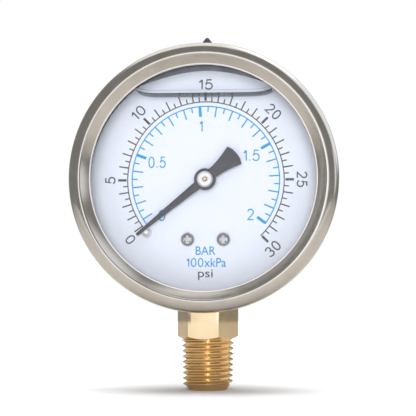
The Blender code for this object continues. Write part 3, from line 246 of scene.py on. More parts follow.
WRENCH_MARKS = (900.0, 3e-7)  # scale and depth: broader and far finer than off the lathe
wrench_brass = turned_metal(
    "wrench_brass", WRENCH_COLOURS, (0.03, 0.06), STEM_CENTRE, "z", *WRENCH_MARKS
)
movement_brass = turned_metal("movement_brass", BRASS_COLOURS, (0.30, 0.40), DIAL_CENTRE, "y")
spring_bronze = turned_metal("spring_bronze", BRONZE_COLOURS, (0.28, 0.36), DIAL_CENTRE, "y")
METAL_ENDINGS = ("steel", "hub", "brass", "bronze")
print("metals:", [m.name for m in bpy.data.materials if m.name.endswith(METAL_ENDINGS)])

# %% [markdown]
# The soft and painted finishes are grainy rather than grooved. The clear window and the liquid let
# light straight through and only add a mirror that grows towards a glancing angle, which is what a
# Fresnel mix says. Real refraction would be truer, but it makes the dial behind it noisy and slow.
# Two more paints stand for light and shade: the liquid's film on the dial is a painted reflection of
# the dial, and the wall above it is painted shade.

# %% Rubber, paint, ink and glass
black_rubber = new_material("black_rubber", (0.02, 0.02, 0.022), 0.6)
rubber_grain = noise(black_rubber, object_position(black_rubber), 4000.0)
tint(black_rubber, rubber_grain, (0.015, 0.015, 0.017), (0.035, 0.035, 0.038))
gloss(black_rubber, rubber_grain, 0.5, 0.7)
relief(black_rubber, rubber_grain, 0.4, 2e-5)


def painted(name, dark, light, roughness, scale=900.0):
    """Paint or ink with a fine grain of colour, gloss and height."""
    material = new_material(name, light, roughness[0])
    grain = noise(material, object_position(material), scale)
    tint(material, grain, dark, light)
    gloss(material, grain, *roughness)
    relief(material, grain, 0.15, 5e-6)
    return material


dial_white = painted("dial_white", (0.77, 0.80, 0.87), (0.80, 0.83, 0.90), (0.45, 0.55))
pointer_black = painted("pointer_black", (0.040, 0.040, 0.048), (0.055, 0.055, 0.065), (0.35, 0.5))
ink_black = painted("ink_black", (0.050, 0.050, 0.058), (0.065, 0.065, 0.075), (0.5, 0.6))
ink_blue = painted("ink_blue", (0.0, 0.30, 0.66), (0.004, 0.33, 0.70), (0.7, 0.8))


def clear(name, colour, ior, roughness=0.03):
    """Light passes straight through; a mirror grows towards a glancing angle."""
    material = bpy.data.materials.new(name)
    material.use_nodes = True
    nodes = material.node_tree.nodes
    nodes.clear()
    output = add_node(material, "ShaderNodeOutputMaterial")
    through = add_node(material, "ShaderNodeBsdfTransparent")
    through.inputs["Color"].default_value = (*colour, 1.0)
    mirror = add_node(material, "ShaderNodeBsdfGlossy")
    mirror.inputs["Roughness"].default_value = roughness
    fresnel = add_node(material, "ShaderNodeFresnel")
    fresnel.inputs["IOR"].default_value = ior
    mix = add_node(material, "ShaderNodeMixShader")
    wire(material, fresnel.outputs["Fac"], mix.inputs["Fac"])
    wire(material, through.outputs[0], mix.inputs[1])
    wire(material, mirror.outputs[0], mix.inputs[2])
    wire(material, mix.outputs[0], output.inputs["Surface"])
    return material


window_glass = clear("clear_window", (0.985, 0.99, 1.0), 1.35)
liquid_clear = clear("liquid_clear", (0.97, 0.98, 1.0), 1.1, 0.10)
liquid_rim = clear("liquid_rim", (0.82, 0.85, 0.90), 1.05)
# painted reflection: a pale film that shows the white dial mirrored in the liquid's surface
dial_reflection_paint = painted("dial_reflection_paint", (0.77, 0.80, 0.87), (0.82, 0.85, 0.92), (0.45, 0.55), 2500.0)
# painted shade: dark grey for the case wall that lies in shade above the dial
PAINTED_SHADE_COLOURS = ((0.14, 0.145, 0.175), (0.23, 0.235, 0.26))
painted_shade_steel = painted("painted_shade_steel", *PAINTED_SHADE_COLOURS, (0.5, 0.6), 300.0)
print("materials so far:", len(bpy.data.materials))

# %% [markdown]
# ## Turned pieces
#
# Bezel, case, window, hub, screws and plug are all round, as the lathe or the press leaves them.
# Each is a closed outline of (radius, height) corners, and each corner may carry a fillet radius.
# The helper rounds the corners, then spins the outline into rings of faces. A Screw modifier could
# do it too, but rings made in code close exactly at the seam and at the axis.

# %% Outline and lathe helpers
def rounded(corners, steps=6):
    """Corners (radius, height, fillet) to outline points, each fillet an arc of that many steps."""
    outline = []
    count = len(corners)
    for index, (r, h, *extra) in enumerate(corners):
        fillet = extra[0] if extra else 0.0
        here = Vector((r, h))
        if fillet <= 0.0:
            outline.append(here)
            continue
        before = Vector(corners[index - 1][:2]) - here
        after = Vector(corners[(index + 1) % count][:2]) - here
        half = before.angle(after) / 2
        reach = fillet / math.tan(half)
        start = here + before.normalized() * reach
        bisector = (before.normalized() + after.normalized()).normalized()
        centre = here + bisector * fillet / math.sin(half)
        first = start - centre
        last = here + after.normalized() * reach - centre
        turn = first.angle_signed(last)
        for step in range(steps + 1):
            outline.append(centre + Matrix.Rotation(-turn * step / steps, 2) @ first)
    return outline


def arc_points(r, h, radius, start, end, steps):
    """Points round (r, h) from one angle to another, in degrees from the outward direction."""
    points = []
    for step in range(steps + 1):
        angle = math.radians(start + (end - start) * step / steps)
        points.append(Vector((r + radius * math.cos(angle), h + radius * math.sin(angle))))
    return points


def add_piece(name, bm, material, smooth_angle=35.0):
    """Finishes a bmesh as an object at the origin: normals out, smooth except at sharp edges."""
    bmesh.ops.remove_doubles(bm, verts=bm.verts, dist=1e-8)
    bmesh.ops.recalc_face_normals(bm, faces=bm.faces)
    limit = math.radians(smooth_angle)
    for face in bm.faces:
        face.smooth = True
    for edge in bm.edges:
        edge.smooth = len(edge.link_faces) == 2 and edge.calc_face_angle(0.0) < limit
    mesh = bpy.data.meshes.new(name)
    bm.to_mesh(mesh)
    bm.free()
    mesh.materials.append(material)
    piece = bpy.data.objects.new(name, mesh)
    bpy.context.scene.collection.objects.link(piece)
    return piece


def spun(bm, outline, centre, axis, segments):
    """Spins a closed outline round an axis through centre. Points on the axis become one vertex."""
    rings = []
    for r, h in outline:
        ring = []
        for index in range(1 if r < 1e-7 else segments):
            angle = 2 * math.pi * index / segments
            u, v = r * math.cos(angle), r * math.sin(angle)
            place = Vector((u, h, v)) if axis == "y" else Vector((u, v, h))
            ring.append(bm.verts.new(place + Vector(centre)))
        rings.append(ring)
    for ring, following in zip(rings, rings[1:] + rings[:1]):
        for index in range(segments):
            corners = []
            for row, shift in ((ring, 0), (ring, 1), (following, 1), (following, 0)):
                vertex = row[(index + shift) % len(row)]
                if vertex not in corners:
                    corners.append(vertex)
            if len(corners) > 2:
                bm.faces.new(corners)


def lathe(name, outline, material, centre=DIAL_CENTRE, axis="y", segments=192):
    """A turned piece: its outline spun round an axis."""
    bm = bmesh.new()
    spun(bm, outline, centre, axis, segments)
    return add_piece(name, bm, material)


def settle(piece, body, slot, *nodes):
    """The piece rides on a CAD body and stands for CAD nodes. Its slot is not used."""
    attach(piece, body)
    if nodes:
        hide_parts(*nodes)
    print(piece.name, "faces:", len(piece.data.polygons), "rides on", body)

# %% [markdown]
# ## Bezel ring
#
# The bezel is pressed from steel sheet: a round shoulder, a flank that slopes in to the lip over
# the window, and a skirt whose rear edge is rolled over the case flange. It is one closed wall, so
# the outline goes forward on the outside and back on the inside.

# %% Bezel
bezel_low, bezel_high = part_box("bezel_ring")
BEZEL_OUTER = (bezel_high.x - bezel_low.x) / 2
CREST_Y = bezel_low.y
SKIRT_Y = bezel_high.y
SHOULDER = 3.0 * MM
WALL = 0.8 * MM
CREST_CORNER = 0.4 * MM
FLANK_SLOPE = 46.0  # degrees from the dial's plane, at the crest
FLANK_HOLLOW = 0.03 * MM
LIP_INNER = 28.5 * MM
LIP_LAND = 0.24 * MM
LIP_FRONT = 2.15 * MM  # behind the crest
LIP_BACK = 2.9 * MM  # behind the crest
LIP_EASE = 0.06 * MM
LIP_BACK_EASE = 0.03 * MM
INNER_BEND = 1.2 * MM
ROLL_RADIUS = WALL / 2
ROLL_CENTRE = 31.7 * MM
ROLL_START = 31.5 * MM
SKIRT_EDGE = 0.5 * MM


def hollow_run(start, end, hollow, steps):
    """Points between two ends on a shallow curve that sinks into the metal at its middle."""
    run = end - start
    inwards = Vector((run.y, -run.x)).normalized()
    points = []
    for step in range(1, steps):
        share = step / steps
        points.append(start + run * share + inwards * hollow * 4 * share * (1 - share))
    return points


shoulder_r = BEZEL_OUTER - SHOULDER
shoulder_y = CREST_Y + SHOULDER
outer_skin = arc_points(shoulder_r, shoulder_y, SHOULDER, 0.0, -90.0, 20)
crest_y = CREST_Y + CREST_CORNER
crest_turn = arc_points(shoulder_r, crest_y, CREST_CORNER, -90.0, -90.0 - FLANK_SLOPE, 6)
flank_top = crest_turn[-1]
lip_y = CREST_Y + LIP_FRONT
flank_foot = Vector((LIP_INNER + LIP_LAND + LIP_EASE, lip_y))
flank_run = flank_top - flank_foot
print("flank slope, degrees:", round(math.degrees(math.atan2(-flank_run.y, flank_run.x)), 1))
lip_back_y = CREST_Y + LIP_BACK
bend_r = BEZEL_OUTER - WALL - INNER_BEND
bezel_outline = (
    [Vector((BEZEL_OUTER, SKIRT_Y - SKIRT_EDGE))]
    + outer_skin
    + crest_turn[1:]
    + hollow_run(flank_top, flank_foot, FLANK_HOLLOW, 8)
    + [
        flank_foot,
        Vector((LIP_INNER + LIP_EASE, lip_y)),
        Vector((LIP_INNER, lip_y + LIP_EASE)),
        Vector((LIP_INNER, lip_back_y - LIP_BACK_EASE)),
        Vector((LIP_INNER + LIP_BACK_EASE, lip_back_y)),
        Vector((bend_r, lip_back_y)),
    ]
    + arc_points(bend_r, lip_back_y + INNER_BEND, INNER_BEND, -80.0, 0.0, 6)
    + [
        Vector((BEZEL_OUTER - WALL, SKIRT_Y - WALL)),
        Vector((ROLL_START, SKIRT_Y - WALL)),
    ]
    + arc_points(ROLL_CENTRE, SKIRT_Y - ROLL_RADIUS, ROLL_RADIUS, 250.0, 110.0, 5)
    + arc_points(BEZEL_OUTER - SKIRT_EDGE, SKIRT_Y - SKIRT_EDGE, SKIRT_EDGE, 85.0, 10.0, 5)
)
bezel = lathe("bezel", bezel_outline, polished_steel, segments=256)
settle(bezel, "housing", "polished_steel", "bezel_ring")

# %% [markdown]
# ## Case
#
# The case is a drawn steel cup with a flat flange that the bezel grips, and a shallow recess in its
# rear wall. The lathe makes the cup, and Booleans pierce it for the neck, the filler plug and the
# two rear screws, as the press does. The short collar welded round the neck is a ring of its own.

# %% Case helpers
SHARP_ANGLE = 35.0  # an edge that turns more than this, in degrees, stays crisp


def plain_outline(inner, outer, low, high):
    return [Vector((inner, low)), Vector((outer, low)), Vector((outer, high)), Vector((inner, high))]


def frozen(piece):
    """Applies a piece's modifiers by taking its evaluated mesh, then clears them."""
    graph = bpy.context.evaluated_depsgraph_get()
    finished = bpy.data.meshes.new_from_object(piece.evaluated_get(graph))
    piece.modifiers.clear()
    piece.data = finished
    return piece


def discard(*pieces):
    for piece in pieces:
        bpy.data.objects.remove(piece)


def carved(piece, *cutters, operation="DIFFERENCE"):
    """Cuts the piece with other solids, which are used up, and marks the new sharp edges."""
    for cutter in cutters:
        modifier = piece.modifiers.new(cutter.name, "BOOLEAN")
        modifier.operation = operation
        modifier.object = cutter
        modifier.solver = "EXACT"
    bpy.context.view_layer.update()
    frozen(piece)
    discard(*cutters)
    material = piece.data.materials[0]
    piece.data.materials.clear()
    piece.data.materials.append(material)
    piece.data.polygons.foreach_set("material_index", [0] * len(piece.data.polygons))
    piece.data.shade_smooth()
    piece.data.set_sharp_from_angle(angle=math.radians(SHARP_ANGLE))
    return piece


def drill_bit(radius, low, high, centre, axis, segments=48):
    outline = plain_outline(0.0, radius, low, high)
    return lathe("drill_bit", outline, polished_steel, centre, axis, segments)

# %% [markdown]
# The cup's outline starts at the flange and runs round the outside to the recess, then back inside.
# The holes are cut afterwards, one drill for each, because a lathe outline can't hold a hole on the
# side. The collar that is welded round the neck has its own small outline, on the stem's upright
# axis.

# %% Case
case_low, case_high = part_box("case")
plug_low, plug_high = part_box("filler_plug")
CASE_OUTER = 31.0 * MM
CASE_WALL = 0.7 * MM
FLANGE_OUTER = (case_high.x - case_low.x) / 2
FLANGE_FRONT = case_low.y
CASE_REAR = case_high.y
RECESS_OUTER = 22.9 * MM
RECESS_INNER = 22.5 * MM
RECESS = 0.4 * MM
FLANGE_THICKNESS = 0.8 * MM
COLLAR_BORE = 7.8 * MM
COLLAR_OUTER = 9.0 * MM
COLLAR_LOW, COLLAR_HIGH = 22.4 * MM, 24.6 * MM
PLUG_HOLE = 2.7 * MM
BACK_SCREW_HOLE = 1.5 * MM

case_outline = rounded(
    [
        (CASE_OUTER - CASE_WALL, FLANGE_FRONT, 0.25 * MM),
        (FLANGE_OUTER, FLANGE_FRONT, 0.15 * MM),
        (FLANGE_OUTER, FLANGE_FRONT + FLANGE_THICKNESS, 0.15 * MM),
        (CASE_OUTER, FLANGE_FRONT + FLANGE_THICKNESS, 0.4 * MM),
        (CASE_OUTER, CASE_REAR, 2.0 * MM),
        (RECESS_OUTER, CASE_REAR, 0.3 * MM),
        (RECESS_INNER, CASE_REAR - RECESS, 0.3 * MM),
        (0.0, CASE_REAR - RECESS),
        (0.0, CASE_REAR - RECESS - CASE_WALL),
        (RECESS_INNER + CASE_WALL, CASE_REAR - RECESS - CASE_WALL),
        (RECESS_OUTER + CASE_WALL, CASE_REAR - CASE_WALL),
        (CASE_OUTER - CASE_WALL, CASE_REAR - CASE_WALL, 1.3 * MM),
    ],
    steps=8,
)
case_shell = lathe("case_shell", case_outline, polished_steel)

plug_centre = Vector((0.0, (plug_low.y + plug_high.y) / 2, 0.0))
seal_low, seal_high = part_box("back_seal_right")
seal_centre = (seal_low + seal_high) / 2
cutters = [
    drill_bit(COLLAR_BORE, case_low.z - 2 * MM, case_low.z + 8 * MM, STEM_CENTRE, "z", 96),
    drill_bit(PLUG_HOLE, case_high.z - 4 * MM, case_high.z + 1 * MM, plug_centre, "z"),
]
for side in (-1, 1):
    screw_place = (side * seal_centre.x, CASE_REAR, seal_centre.z)
    cutters.append(drill_bit(BACK_SCREW_HOLE, -2 * MM, 1 * MM, screw_place, "y"))
carved(case_shell, *cutters)
settle(case_shell, "housing", "polished_steel", "case")

collar_outline = rounded(
    [
        (COLLAR_BORE, COLLAR_LOW),
        (COLLAR_OUTER, COLLAR_LOW, 0.35 * MM),
        (COLLAR_OUTER, COLLAR_HIGH),
        (COLLAR_BORE, COLLAR_HIGH),
    ]
)
case_collar = lathe("case_collar", collar_outline, polished_steel, STEM_CENTRE, "z", 96)
settle(case_collar, "housing", "polished_steel", "case")

# %% [markdown]
# ## Window and gasket
#
# The window is a thick clear disc with a chamfered front edge. It sits in a rubber ring of L
# section that seals it against the flange, so the liquid stays in. Both come off the same lathe
# helper.

# %% Window and gasket
WINDOW_RIM = (window_high.x - window_low.x) / 2
WINDOW_FRONT, WINDOW_BACK = window_low.y, window_high.y
WINDOW_CHAMFER = 0.3 * MM
SEAT_GAP = 0.3 * MM
GASKET_LIP = 1.2 * MM
window_outline = rounded(
    [
        (0.0, WINDOW_FRONT),
        (WINDOW_RIM - WINDOW_CHAMFER, WINDOW_FRONT, 0.05 * MM),
        (WINDOW_RIM, WINDOW_FRONT + WINDOW_CHAMFER, 0.05 * MM),
        (WINDOW_RIM, WINDOW_BACK, 0.1 * MM),
        (0.0, WINDOW_BACK),
    ]
)
window = lathe("window_pane", window_outline, window_glass)
settle(window, "housing", "clear_window", "window")

gasket_low, gasket_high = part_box("window_gasket")
GASKET_OUTER = (gasket_high.x - gasket_low.x) / 2
gasket_outline = rounded(
    [
        (WINDOW_RIM - GASKET_LIP, gasket_high.y, 0.1 * MM),
        (WINDOW_RIM - GASKET_LIP, WINDOW_BACK + SEAT_GAP, 0.2 * MM),
        (WINDOW_RIM + SEAT_GAP, WINDOW_BACK + SEAT_GAP),
        (WINDOW_RIM + SEAT_GAP, gasket_low.y, 0.1 * MM),
        (GASKET_OUTER, gasket_low.y, 0.3 * MM),
        (GASKET_OUTER, gasket_high.y, 0.1 * MM),
    ],
    steps=4,
)
gasket = lathe("window_gasket_ring", gasket_outline, black_rubber)
settle(gasket, "housing", "black_rubber", "window_gasket")

# %% [markdown]
# ## Dial plate
#
# A thin aluminium disc, painted white. It has a hole for the pointer's shaft, and its rim is
# slightly eased.

# %% Dial plate
dial_low, dial_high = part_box("dial_plate")
RIM_MARGIN = 0.5 * MM  # the painted rim runs on under the bezel's lip
DIAL_RIM = (dial_high.x - dial_low.x) / 2 + RIM_MARGIN
SHAFT_HOLE = 1.9 * MM
DIAL_FRONT = dial_low.y
dial_outline = rounded(
    [
        (SHAFT_HOLE, DIAL_FRONT, 0.05 * MM),
        (DIAL_RIM, DIAL_FRONT, 0.15 * MM),
        (DIAL_RIM, dial_high.y, 0.15 * MM),
        (SHAFT_HOLE, dial_high.y),
    ],
    steps=3,
)
dial = lathe("dial_face", dial_outline, dial_white)
settle(dial, "housing", "dial_white", "dial_plate")

# %% [markdown]
# ## Printed scales
#
# A dial has dozens of marks that differ only in angle, so one Geometry Nodes tree makes a row of
# them: points laid out by index, a thin bar set on each, every few marks left out where a longer
# one stands. The tree's sizes are its inputs. The ink is a real skin a few hundredths of a
# millimetre proud of the paint, and Realize Instances with Set Material ends the tree, so that the
# marks can be exported.

# %% The tree that makes a row of marks
INK_PROUD = 0.02 * MM
INK_SUNK = 0.02 * MM


def new_tree(name, inputs):
    """A Geometry Nodes group with named inputs of (name, type, value), and its input sockets."""
    tree = bpy.data.node_groups.new(name, "GeometryNodeTree")
    tree.interface.new_socket("Geometry", in_out="OUTPUT", socket_type="NodeSocketGeometry")
    identifiers = {}
    for label, kind, value in inputs:
        socket = tree.interface.new_socket(label, in_out="INPUT", socket_type="NodeSocket" + kind)
        if value is not None:
            socket.default_value = value
        identifiers[label] = socket.identifier
    group_in = tree.nodes.new("NodeGroupInput")
    return tree, identifiers, {socket.name: socket for socket in group_in.outputs}


def tree_node(tree, kind, links=(), **settings):
    """Adds a node, sets its options and wires its inputs from (input, source) pairs or constants."""
    node = tree.nodes.new(kind)
    for key, value in settings.items():
        setattr(node, key, value)
    for key, source in links:
        if isinstance(source, bpy.types.NodeSocket):
            tree.links.new(source, node.inputs[key])
        else:
            node.inputs[key].default_value = source
    return node


def maths(tree, operation, a, b=0.0):
    return tree_node(tree, "ShaderNodeMath", ((0, a), (1, b)), operation=operation).outputs[0]


def finish_tree(tree, geometry, material):
    """Every tree ends in real geometry with its material set."""
    real = tree_node(tree, "GeometryNodeRealizeInstances", (("Geometry", geometry),))
    painted_over = tree_node(
        tree, "GeometryNodeSetMaterial", (("Geometry", real.outputs[0]), ("Material", material))
    )
    tree_node(tree, "NodeGroupOutput", ((0, painted_over.outputs[0]),))


def grown(name, tree, identifiers, values, model=None):
    """Runs a tree on a model's mesh or an empty one, and keeps what it makes as a plain mesh."""
    piece = bpy.data.objects.new(name, model or bpy.data.meshes.new(name))
    bpy.context.scene.collection.objects.link(piece)
    modifier = piece.modifiers.new(name, "NODES")
    modifier.node_group = tree
    for label, value in values.items():
        modifier[identifiers[label]] = value
    bpy.context.view_layer.update()
    return frozen(piece)


mark_tree, MARK_INPUTS, given = new_tree(
    "row_of_marks",
    (
        ("Count", "Int", 10),
        ("First Angle", "Float", 0.0),
        ("Step Angle", "Float", 0.1),
        ("Skip Every", "Int", 1000),
        ("Skip Offset", "Int", 1),
        ("Inner Radius", "Float", 0.02),
        ("Outer Radius", "Float", 0.022),
        ("Width", "Float", 0.0003),
        ("Centre Height", "Float", 0.0),
        ("Ink", "Material", None),
    ),
)
index = tree_node(mark_tree, "GeometryNodeInputIndex").outputs[0]
turned = maths(mark_tree, "MULTIPLY", index, given["Step Angle"])
angle = maths(mark_tree, "ADD", given["First Angle"], turned)
length = maths(mark_tree, "SUBTRACT", given["Outer Radius"], given["Inner Radius"])
half_length = maths(mark_tree, "MULTIPLY", length, 0.5)
middle = maths(mark_tree, "ADD", given["Inner Radius"], half_length)
across = maths(mark_tree, "MULTIPLY", middle, maths(mark_tree, "COSINE", angle))
upward = maths(mark_tree, "MULTIPLY", middle, maths(mark_tree, "SINE", angle))
height = maths(mark_tree, "ADD", given["Centre Height"], upward)
depth = DIAL_FRONT + (INK_SUNK - INK_PROUD) / 2
place = tree_node(mark_tree, "ShaderNodeCombineXYZ", (("X", across), ("Y", depth), ("Z", height)))
ink_thickness = INK_PROUD + INK_SUNK
points = tree_node(
    mark_tree, "GeometryNodePoints", (("Count", given["Count"]), ("Position", place.outputs[0]))
)
counted = maths(mark_tree, "ADD", index, given["Skip Offset"])
remainder = maths(mark_tree, "MODULO", counted, given["Skip Every"])
shown = maths(mark_tree, "GREATER_THAN", remainder, 0.5)
bar_size = tree_node(
    mark_tree, "ShaderNodeCombineXYZ", (("X", length), ("Y", ink_thickness), ("Z", given["Width"]))
)
bar = tree_node(mark_tree, "GeometryNodeMeshCube", (("Size", bar_size.outputs[0]),))
backwards = maths(mark_tree, "MULTIPLY", angle, -1.0)
lean = tree_node(mark_tree, "ShaderNodeCombineXYZ", (("Y", backwards),))
bars = tree_node(
    mark_tree,
    "GeometryNodeInstanceOnPoints",
    (
        ("Points", points.outputs[0]),
        ("Selection", shown),
        ("Instance", bar.outputs[0]),
        ("Rotation", lean.outputs[0]),
    ),
)
finish_tree(mark_tree, bars.outputs[0], given["Ink"])

# %% [markdown]
# The outer scale has a long mark every psi, a short one between, and a thick one at each five. The
# inner scale does the same for tenths of a bar. Both start at the stop pin and not where a true
# zero would be, so the zero mark stands alone. Each scale's arc is a thin strip that joins the feet
# of its marks.

# %% The black psi scale and the blue bar scale
ZERO_ANGLE = 218.8  # of the zero mark, in degrees anticlockwise from the right
PSI_START, PSI_STEP = 225.0, 9.0  # where an unstopped zero would be, and one psi
BAR_START, BAR_STEP = 225.0, 130.5
BLACK_ARC = (20.16 * MM, 20.44 * MM)
BLUE_ARC = (18.97 * MM, 19.27 * MM)
NO_SKIP = (1000, 1)


def settle_print(piece, ink):
    """Print stays on the dial, which is part of the housing."""
    settle(piece, "housing", "pointer_black" if ink == ink_black else "dial_white")


def marks(name, ink, first, step, count, skip, inner, outer, width):
    """A row of marks stepping clockwise from an angle, sizes in mm; skip is (every, offset)."""
    values = {
        "Count": count,
        "First Angle": math.radians(first),
        "Step Angle": -math.radians(step),
        "Skip Every": skip[0],
        "Skip Offset": skip[1],
        "Inner Radius": inner * MM,
        "Outer Radius": outer * MM,
        "Width": width * MM,
        "Centre Height": DIAL_Z,
        "Ink": ink,
    }
    settle_print(grown(name, mark_tree, MARK_INPUTS, values), ink)


psi_1 = PSI_START - PSI_STEP
psi_5 = PSI_START - 5 * PSI_STEP
bar_small = BAR_START - 0.15 * BAR_STEP
bar_half = BAR_START - BAR_STEP / 2
marks("psi_marks_small", ink_black, psi_1, PSI_STEP / 2, 59, (2, 0), 20.40, 21.55, 0.32)
marks("psi_marks_thin", ink_black, PSI_START, PSI_STEP, 31, (5, 0), 20.40, 22.80, 0.35)
marks("psi_marks_thick", ink_black, psi_5, 5 * PSI_STEP, 6, NO_SKIP, 20.60, 22.80, 0.62)
marks("psi_mark_zero", ink_black, ZERO_ANGLE, 0.0, 1, NO_SKIP, 20.40, 22.80, 0.55)
marks("bar_marks_small", ink_blue, bar_small, BAR_STEP / 20, 38, (2, 1), 17.70, 19.00, 0.34)
marks("bar_marks_thin", ink_blue, BAR_START, BAR_STEP / 10, 21, (5, 0), 16.40, 19.00, 0.36)
marks("bar_marks_thick", ink_blue, bar_half, BAR_STEP / 2, 4, NO_SKIP, 16.45, 19.00, 0.76)
marks("bar_mark_zero", ink_blue, ZERO_ANGLE, 0.0, 1, NO_SKIP, 16.60, 19.00, 0.50)


def closed_strip(bm, rows, looped=False):
    """Joins rows of corners into a closed skin. The ends meet when looped, and get a lid when not."""
    corners = len(rows[0])
    pairs = list(zip(rows, rows[1:])) + ([(rows[-1], rows[0])] if looped else [])
    for row, following in pairs:
        for corner in range(corners):
            after = (corner + 1) % corners
            bm.faces.new((row[corner], row[after], following[after], following[corner]))
    if not looped:
        bm.faces.new(rows[0])
        bm.faces.new(rows[-1][::-1])


def box_section(first, last, low, high):
    """The four corners of a strip's section."""
    return ((first, low), (last, low), (last, high), (first, high))


ARC_STEP = 1.5  # degrees


def scale_arc(name, ink, radii, start, end):
    """A thin printed arc between two radii, from start to end in degrees, as one closed skin."""
    steps = int(abs(end - start) / ARC_STEP)
    bm = bmesh.new()
    rows = []
    for step in range(steps + 1):
        turn = math.radians(start + (end - start) * step / steps)
        row = []
        for r, y in box_section(*radii, -INK_PROUD, INK_SUNK):
            row.append(bm.verts.new((r * math.cos(turn), DIAL_FRONT + y, DIAL_Z + r * math.sin(turn))))
        rows.append(row)
    closed_strip(bm, rows)
    settle_print(add_piece(name, bm, ink), ink)


# An arc runs on to the outer edges of its first and last marks.
arc_start = ZERO_ANGLE + 0.35
psi_30 = PSI_START - 30 * PSI_STEP
bar_2 = BAR_START - 2 * BAR_STEP
scale_arc("psi_arc", ink_black, BLACK_ARC, arc_start, psi_30 - 0.65)
scale_arc("bar_arc", ink_blue, BLUE_ARC, arc_start, bar_2 - 0.8)

# %% [markdown]
# ## Figures and units
#
# The figures on a dial are drawn with one even pen, narrower than the built-in type face. So each
# figure is one or two pen strokes in a box one unit wide and high, and a helper gives a stroke its
# width and thickness. The unit names are Text objects, turned into a mesh first and then squeezed
# to their printed size.

# %% Figures as pen strokes
def bow(x, y, across, up, start, end, steps=16):
    """Points on an oval arc, a little squarer than an ellipse, with its angles in degrees."""
    points = []
    for step in range(steps + 1):
        angle = math.radians(start + (end - start) * step / steps)
        c, s = math.cos(angle), math.sin(angle)
        squarer = [math.copysign(abs(part) ** 0.9, part) for part in (c, s)]
        points.append((x + across * squarer[0], y + up * squarer[1]))
    return points


STROKES = {
    "0": [bow(0.5, 0.5, 0.5, 0.5, 0, 360, 40)],
    "1": [[(0.05, 0.76), (0.45, 0.80), (0.78, 1.0)], [(0.95, 1.0), (0.95, 0.0)]],
    "2": [bow(0.5, 0.72, 0.47, 0.28, 170, -35) + [(0.02, 0.0), (1.0, 0.0)]],
    "3": [bow(0.47, 0.76, 0.43, 0.24, 165, -75) + bow(0.47, 0.27, 0.53, 0.27, 75, -165)],
    "5": [[(0.92, 1.0), (0.22, 1.0), (0.10, 0.50)] + bow(0.46, 0.33, 0.54, 0.33, 135, -160)],
    ".": [[(0.5, 0.0), (0.5, 0.10)]],
}
WIDTHS = {"1": 0.50, ".": 0.10}
LETTER_GAP = 0.30


def pen_stroke(bm, path, pen, to_world):
    """Gives a flat path the width of the pen and the thickness of the ink, as a closed skin."""
    closed = (path[0] - path[-1]).length < 1e-7
    if closed:
        path = path[:-1]
    rows = []
    for index, here in enumerate(path):
        before = path[index - 1] if closed or index else here
        after = path[(index + 1) % len(path)] if closed or index < len(path) - 1 else here
        arriving, leaving = here - before, after - here
        inward = arriving.normalized() if arriving.length else leaving.normalized()
        onward = leaving.normalized() if leaving.length else inward
        along = (inward + onward).normalized()
        side = Vector((-along.y, along.x)) * (pen / 2) / max(along.dot(inward), 0.5)
        section = box_section(here + side, here - side, -INK_PROUD, INK_SUNK)
        rows.append([bm.verts.new(to_world(flat, y)) for flat, y in section])
    closed_strip(bm, rows, looped=closed)


def figures(name, text, ink, x, z, high, wide, pen, turn=0.0):
    """A number centred at (x, z) from the dial's centre, turned anticlockwise in degrees."""
    units = sum(WIDTHS.get(letter, 1.0) for letter in text)
    unit = (wide - len(text) * pen) / (units + LETTER_GAP * (len(text) - 1))
    turned_by = Matrix.Rotation(math.radians(turn), 2)
    bm = bmesh.new()
    left = -wide / 2
    for letter in text:
        broad = WIDTHS.get(letter, 1.0) * unit
        for stroke in STROKES[letter]:
            path = [Vector((left + pen / 2 + u * broad, (v - 0.5) * (high - pen))) for u, v in stroke]

            def to_world(flat, y):
                there = turned_by @ flat
                return (x + there.x, DIAL_FRONT + y, DIAL_Z + z + there.y)

            pen_stroke(bm, path, pen, to_world)
        left += broad + pen + LETTER_GAP * unit
    settle_print(add_piece(name, bm, ink), ink)


PEN = 0.36 * MM
FIGURE_R = 24.86 * MM
FIGURE_H = 2.75 * MM
FIGURE_W = 1.85 * MM
PAIR_W = 4.05 * MM
for text, angle, turn, wide in (
    ("0", 218.2, -51.8, FIGURE_W),
    ("5", 180.0, 90.0, FIGURE_W),
    ("10", 135.0, 45.0, PAIR_W * 0.93),
    ("15", 90.0, 0.0, PAIR_W * 0.93),
    ("20", 45.0, -45.0, PAIR_W),
    ("25", 0.0, -90.0, PAIR_W),
    ("30", -45.8, 45.0, PAIR_W),
):
    x = FIGURE_R * math.cos(math.radians(angle))
    z = FIGURE_R * math.sin(math.radians(angle))
    figures("psi_figure_" + text, text, ink_black, x, z, FIGURE_H, wide, PEN, turn)

BLUE_H = 3.0 * MM
BLUE_PEN = PEN * 0.95
UNIT_PEN = 0.30 * MM
for name, text, x, z, wide in (
    ("bar_figure_0", "0", -11.36, -9.19, 1.80),
    ("bar_figure_0_5", "0.5", -12.63, 4.63, 4.55),
    ("bar_figure_1", "1", -1.20, 13.91, 1.00),
    ("bar_figure_1_5", "1.5", 11.82, 6.26, 4.40),
    ("bar_figure_2", "2", 11.62, -9.01, 1.80),
):
    figures(name, text, ink_blue, x * MM, z * MM, BLUE_H, wide * MM, BLUE_PEN)
figures("unit_hundred", "100", ink_blue, -2.80 * MM, -21.35 * MM, 2.33 * MM, 4.50 * MM, UNIT_PEN)

# %% [markdown]
# The unit names are set in the built-in type face, because letters have more shapes than a few
# strokes can give. A Text object is turned into a mesh before it is squeezed and placed, so that
# the finished piece stands at the origin like every other.

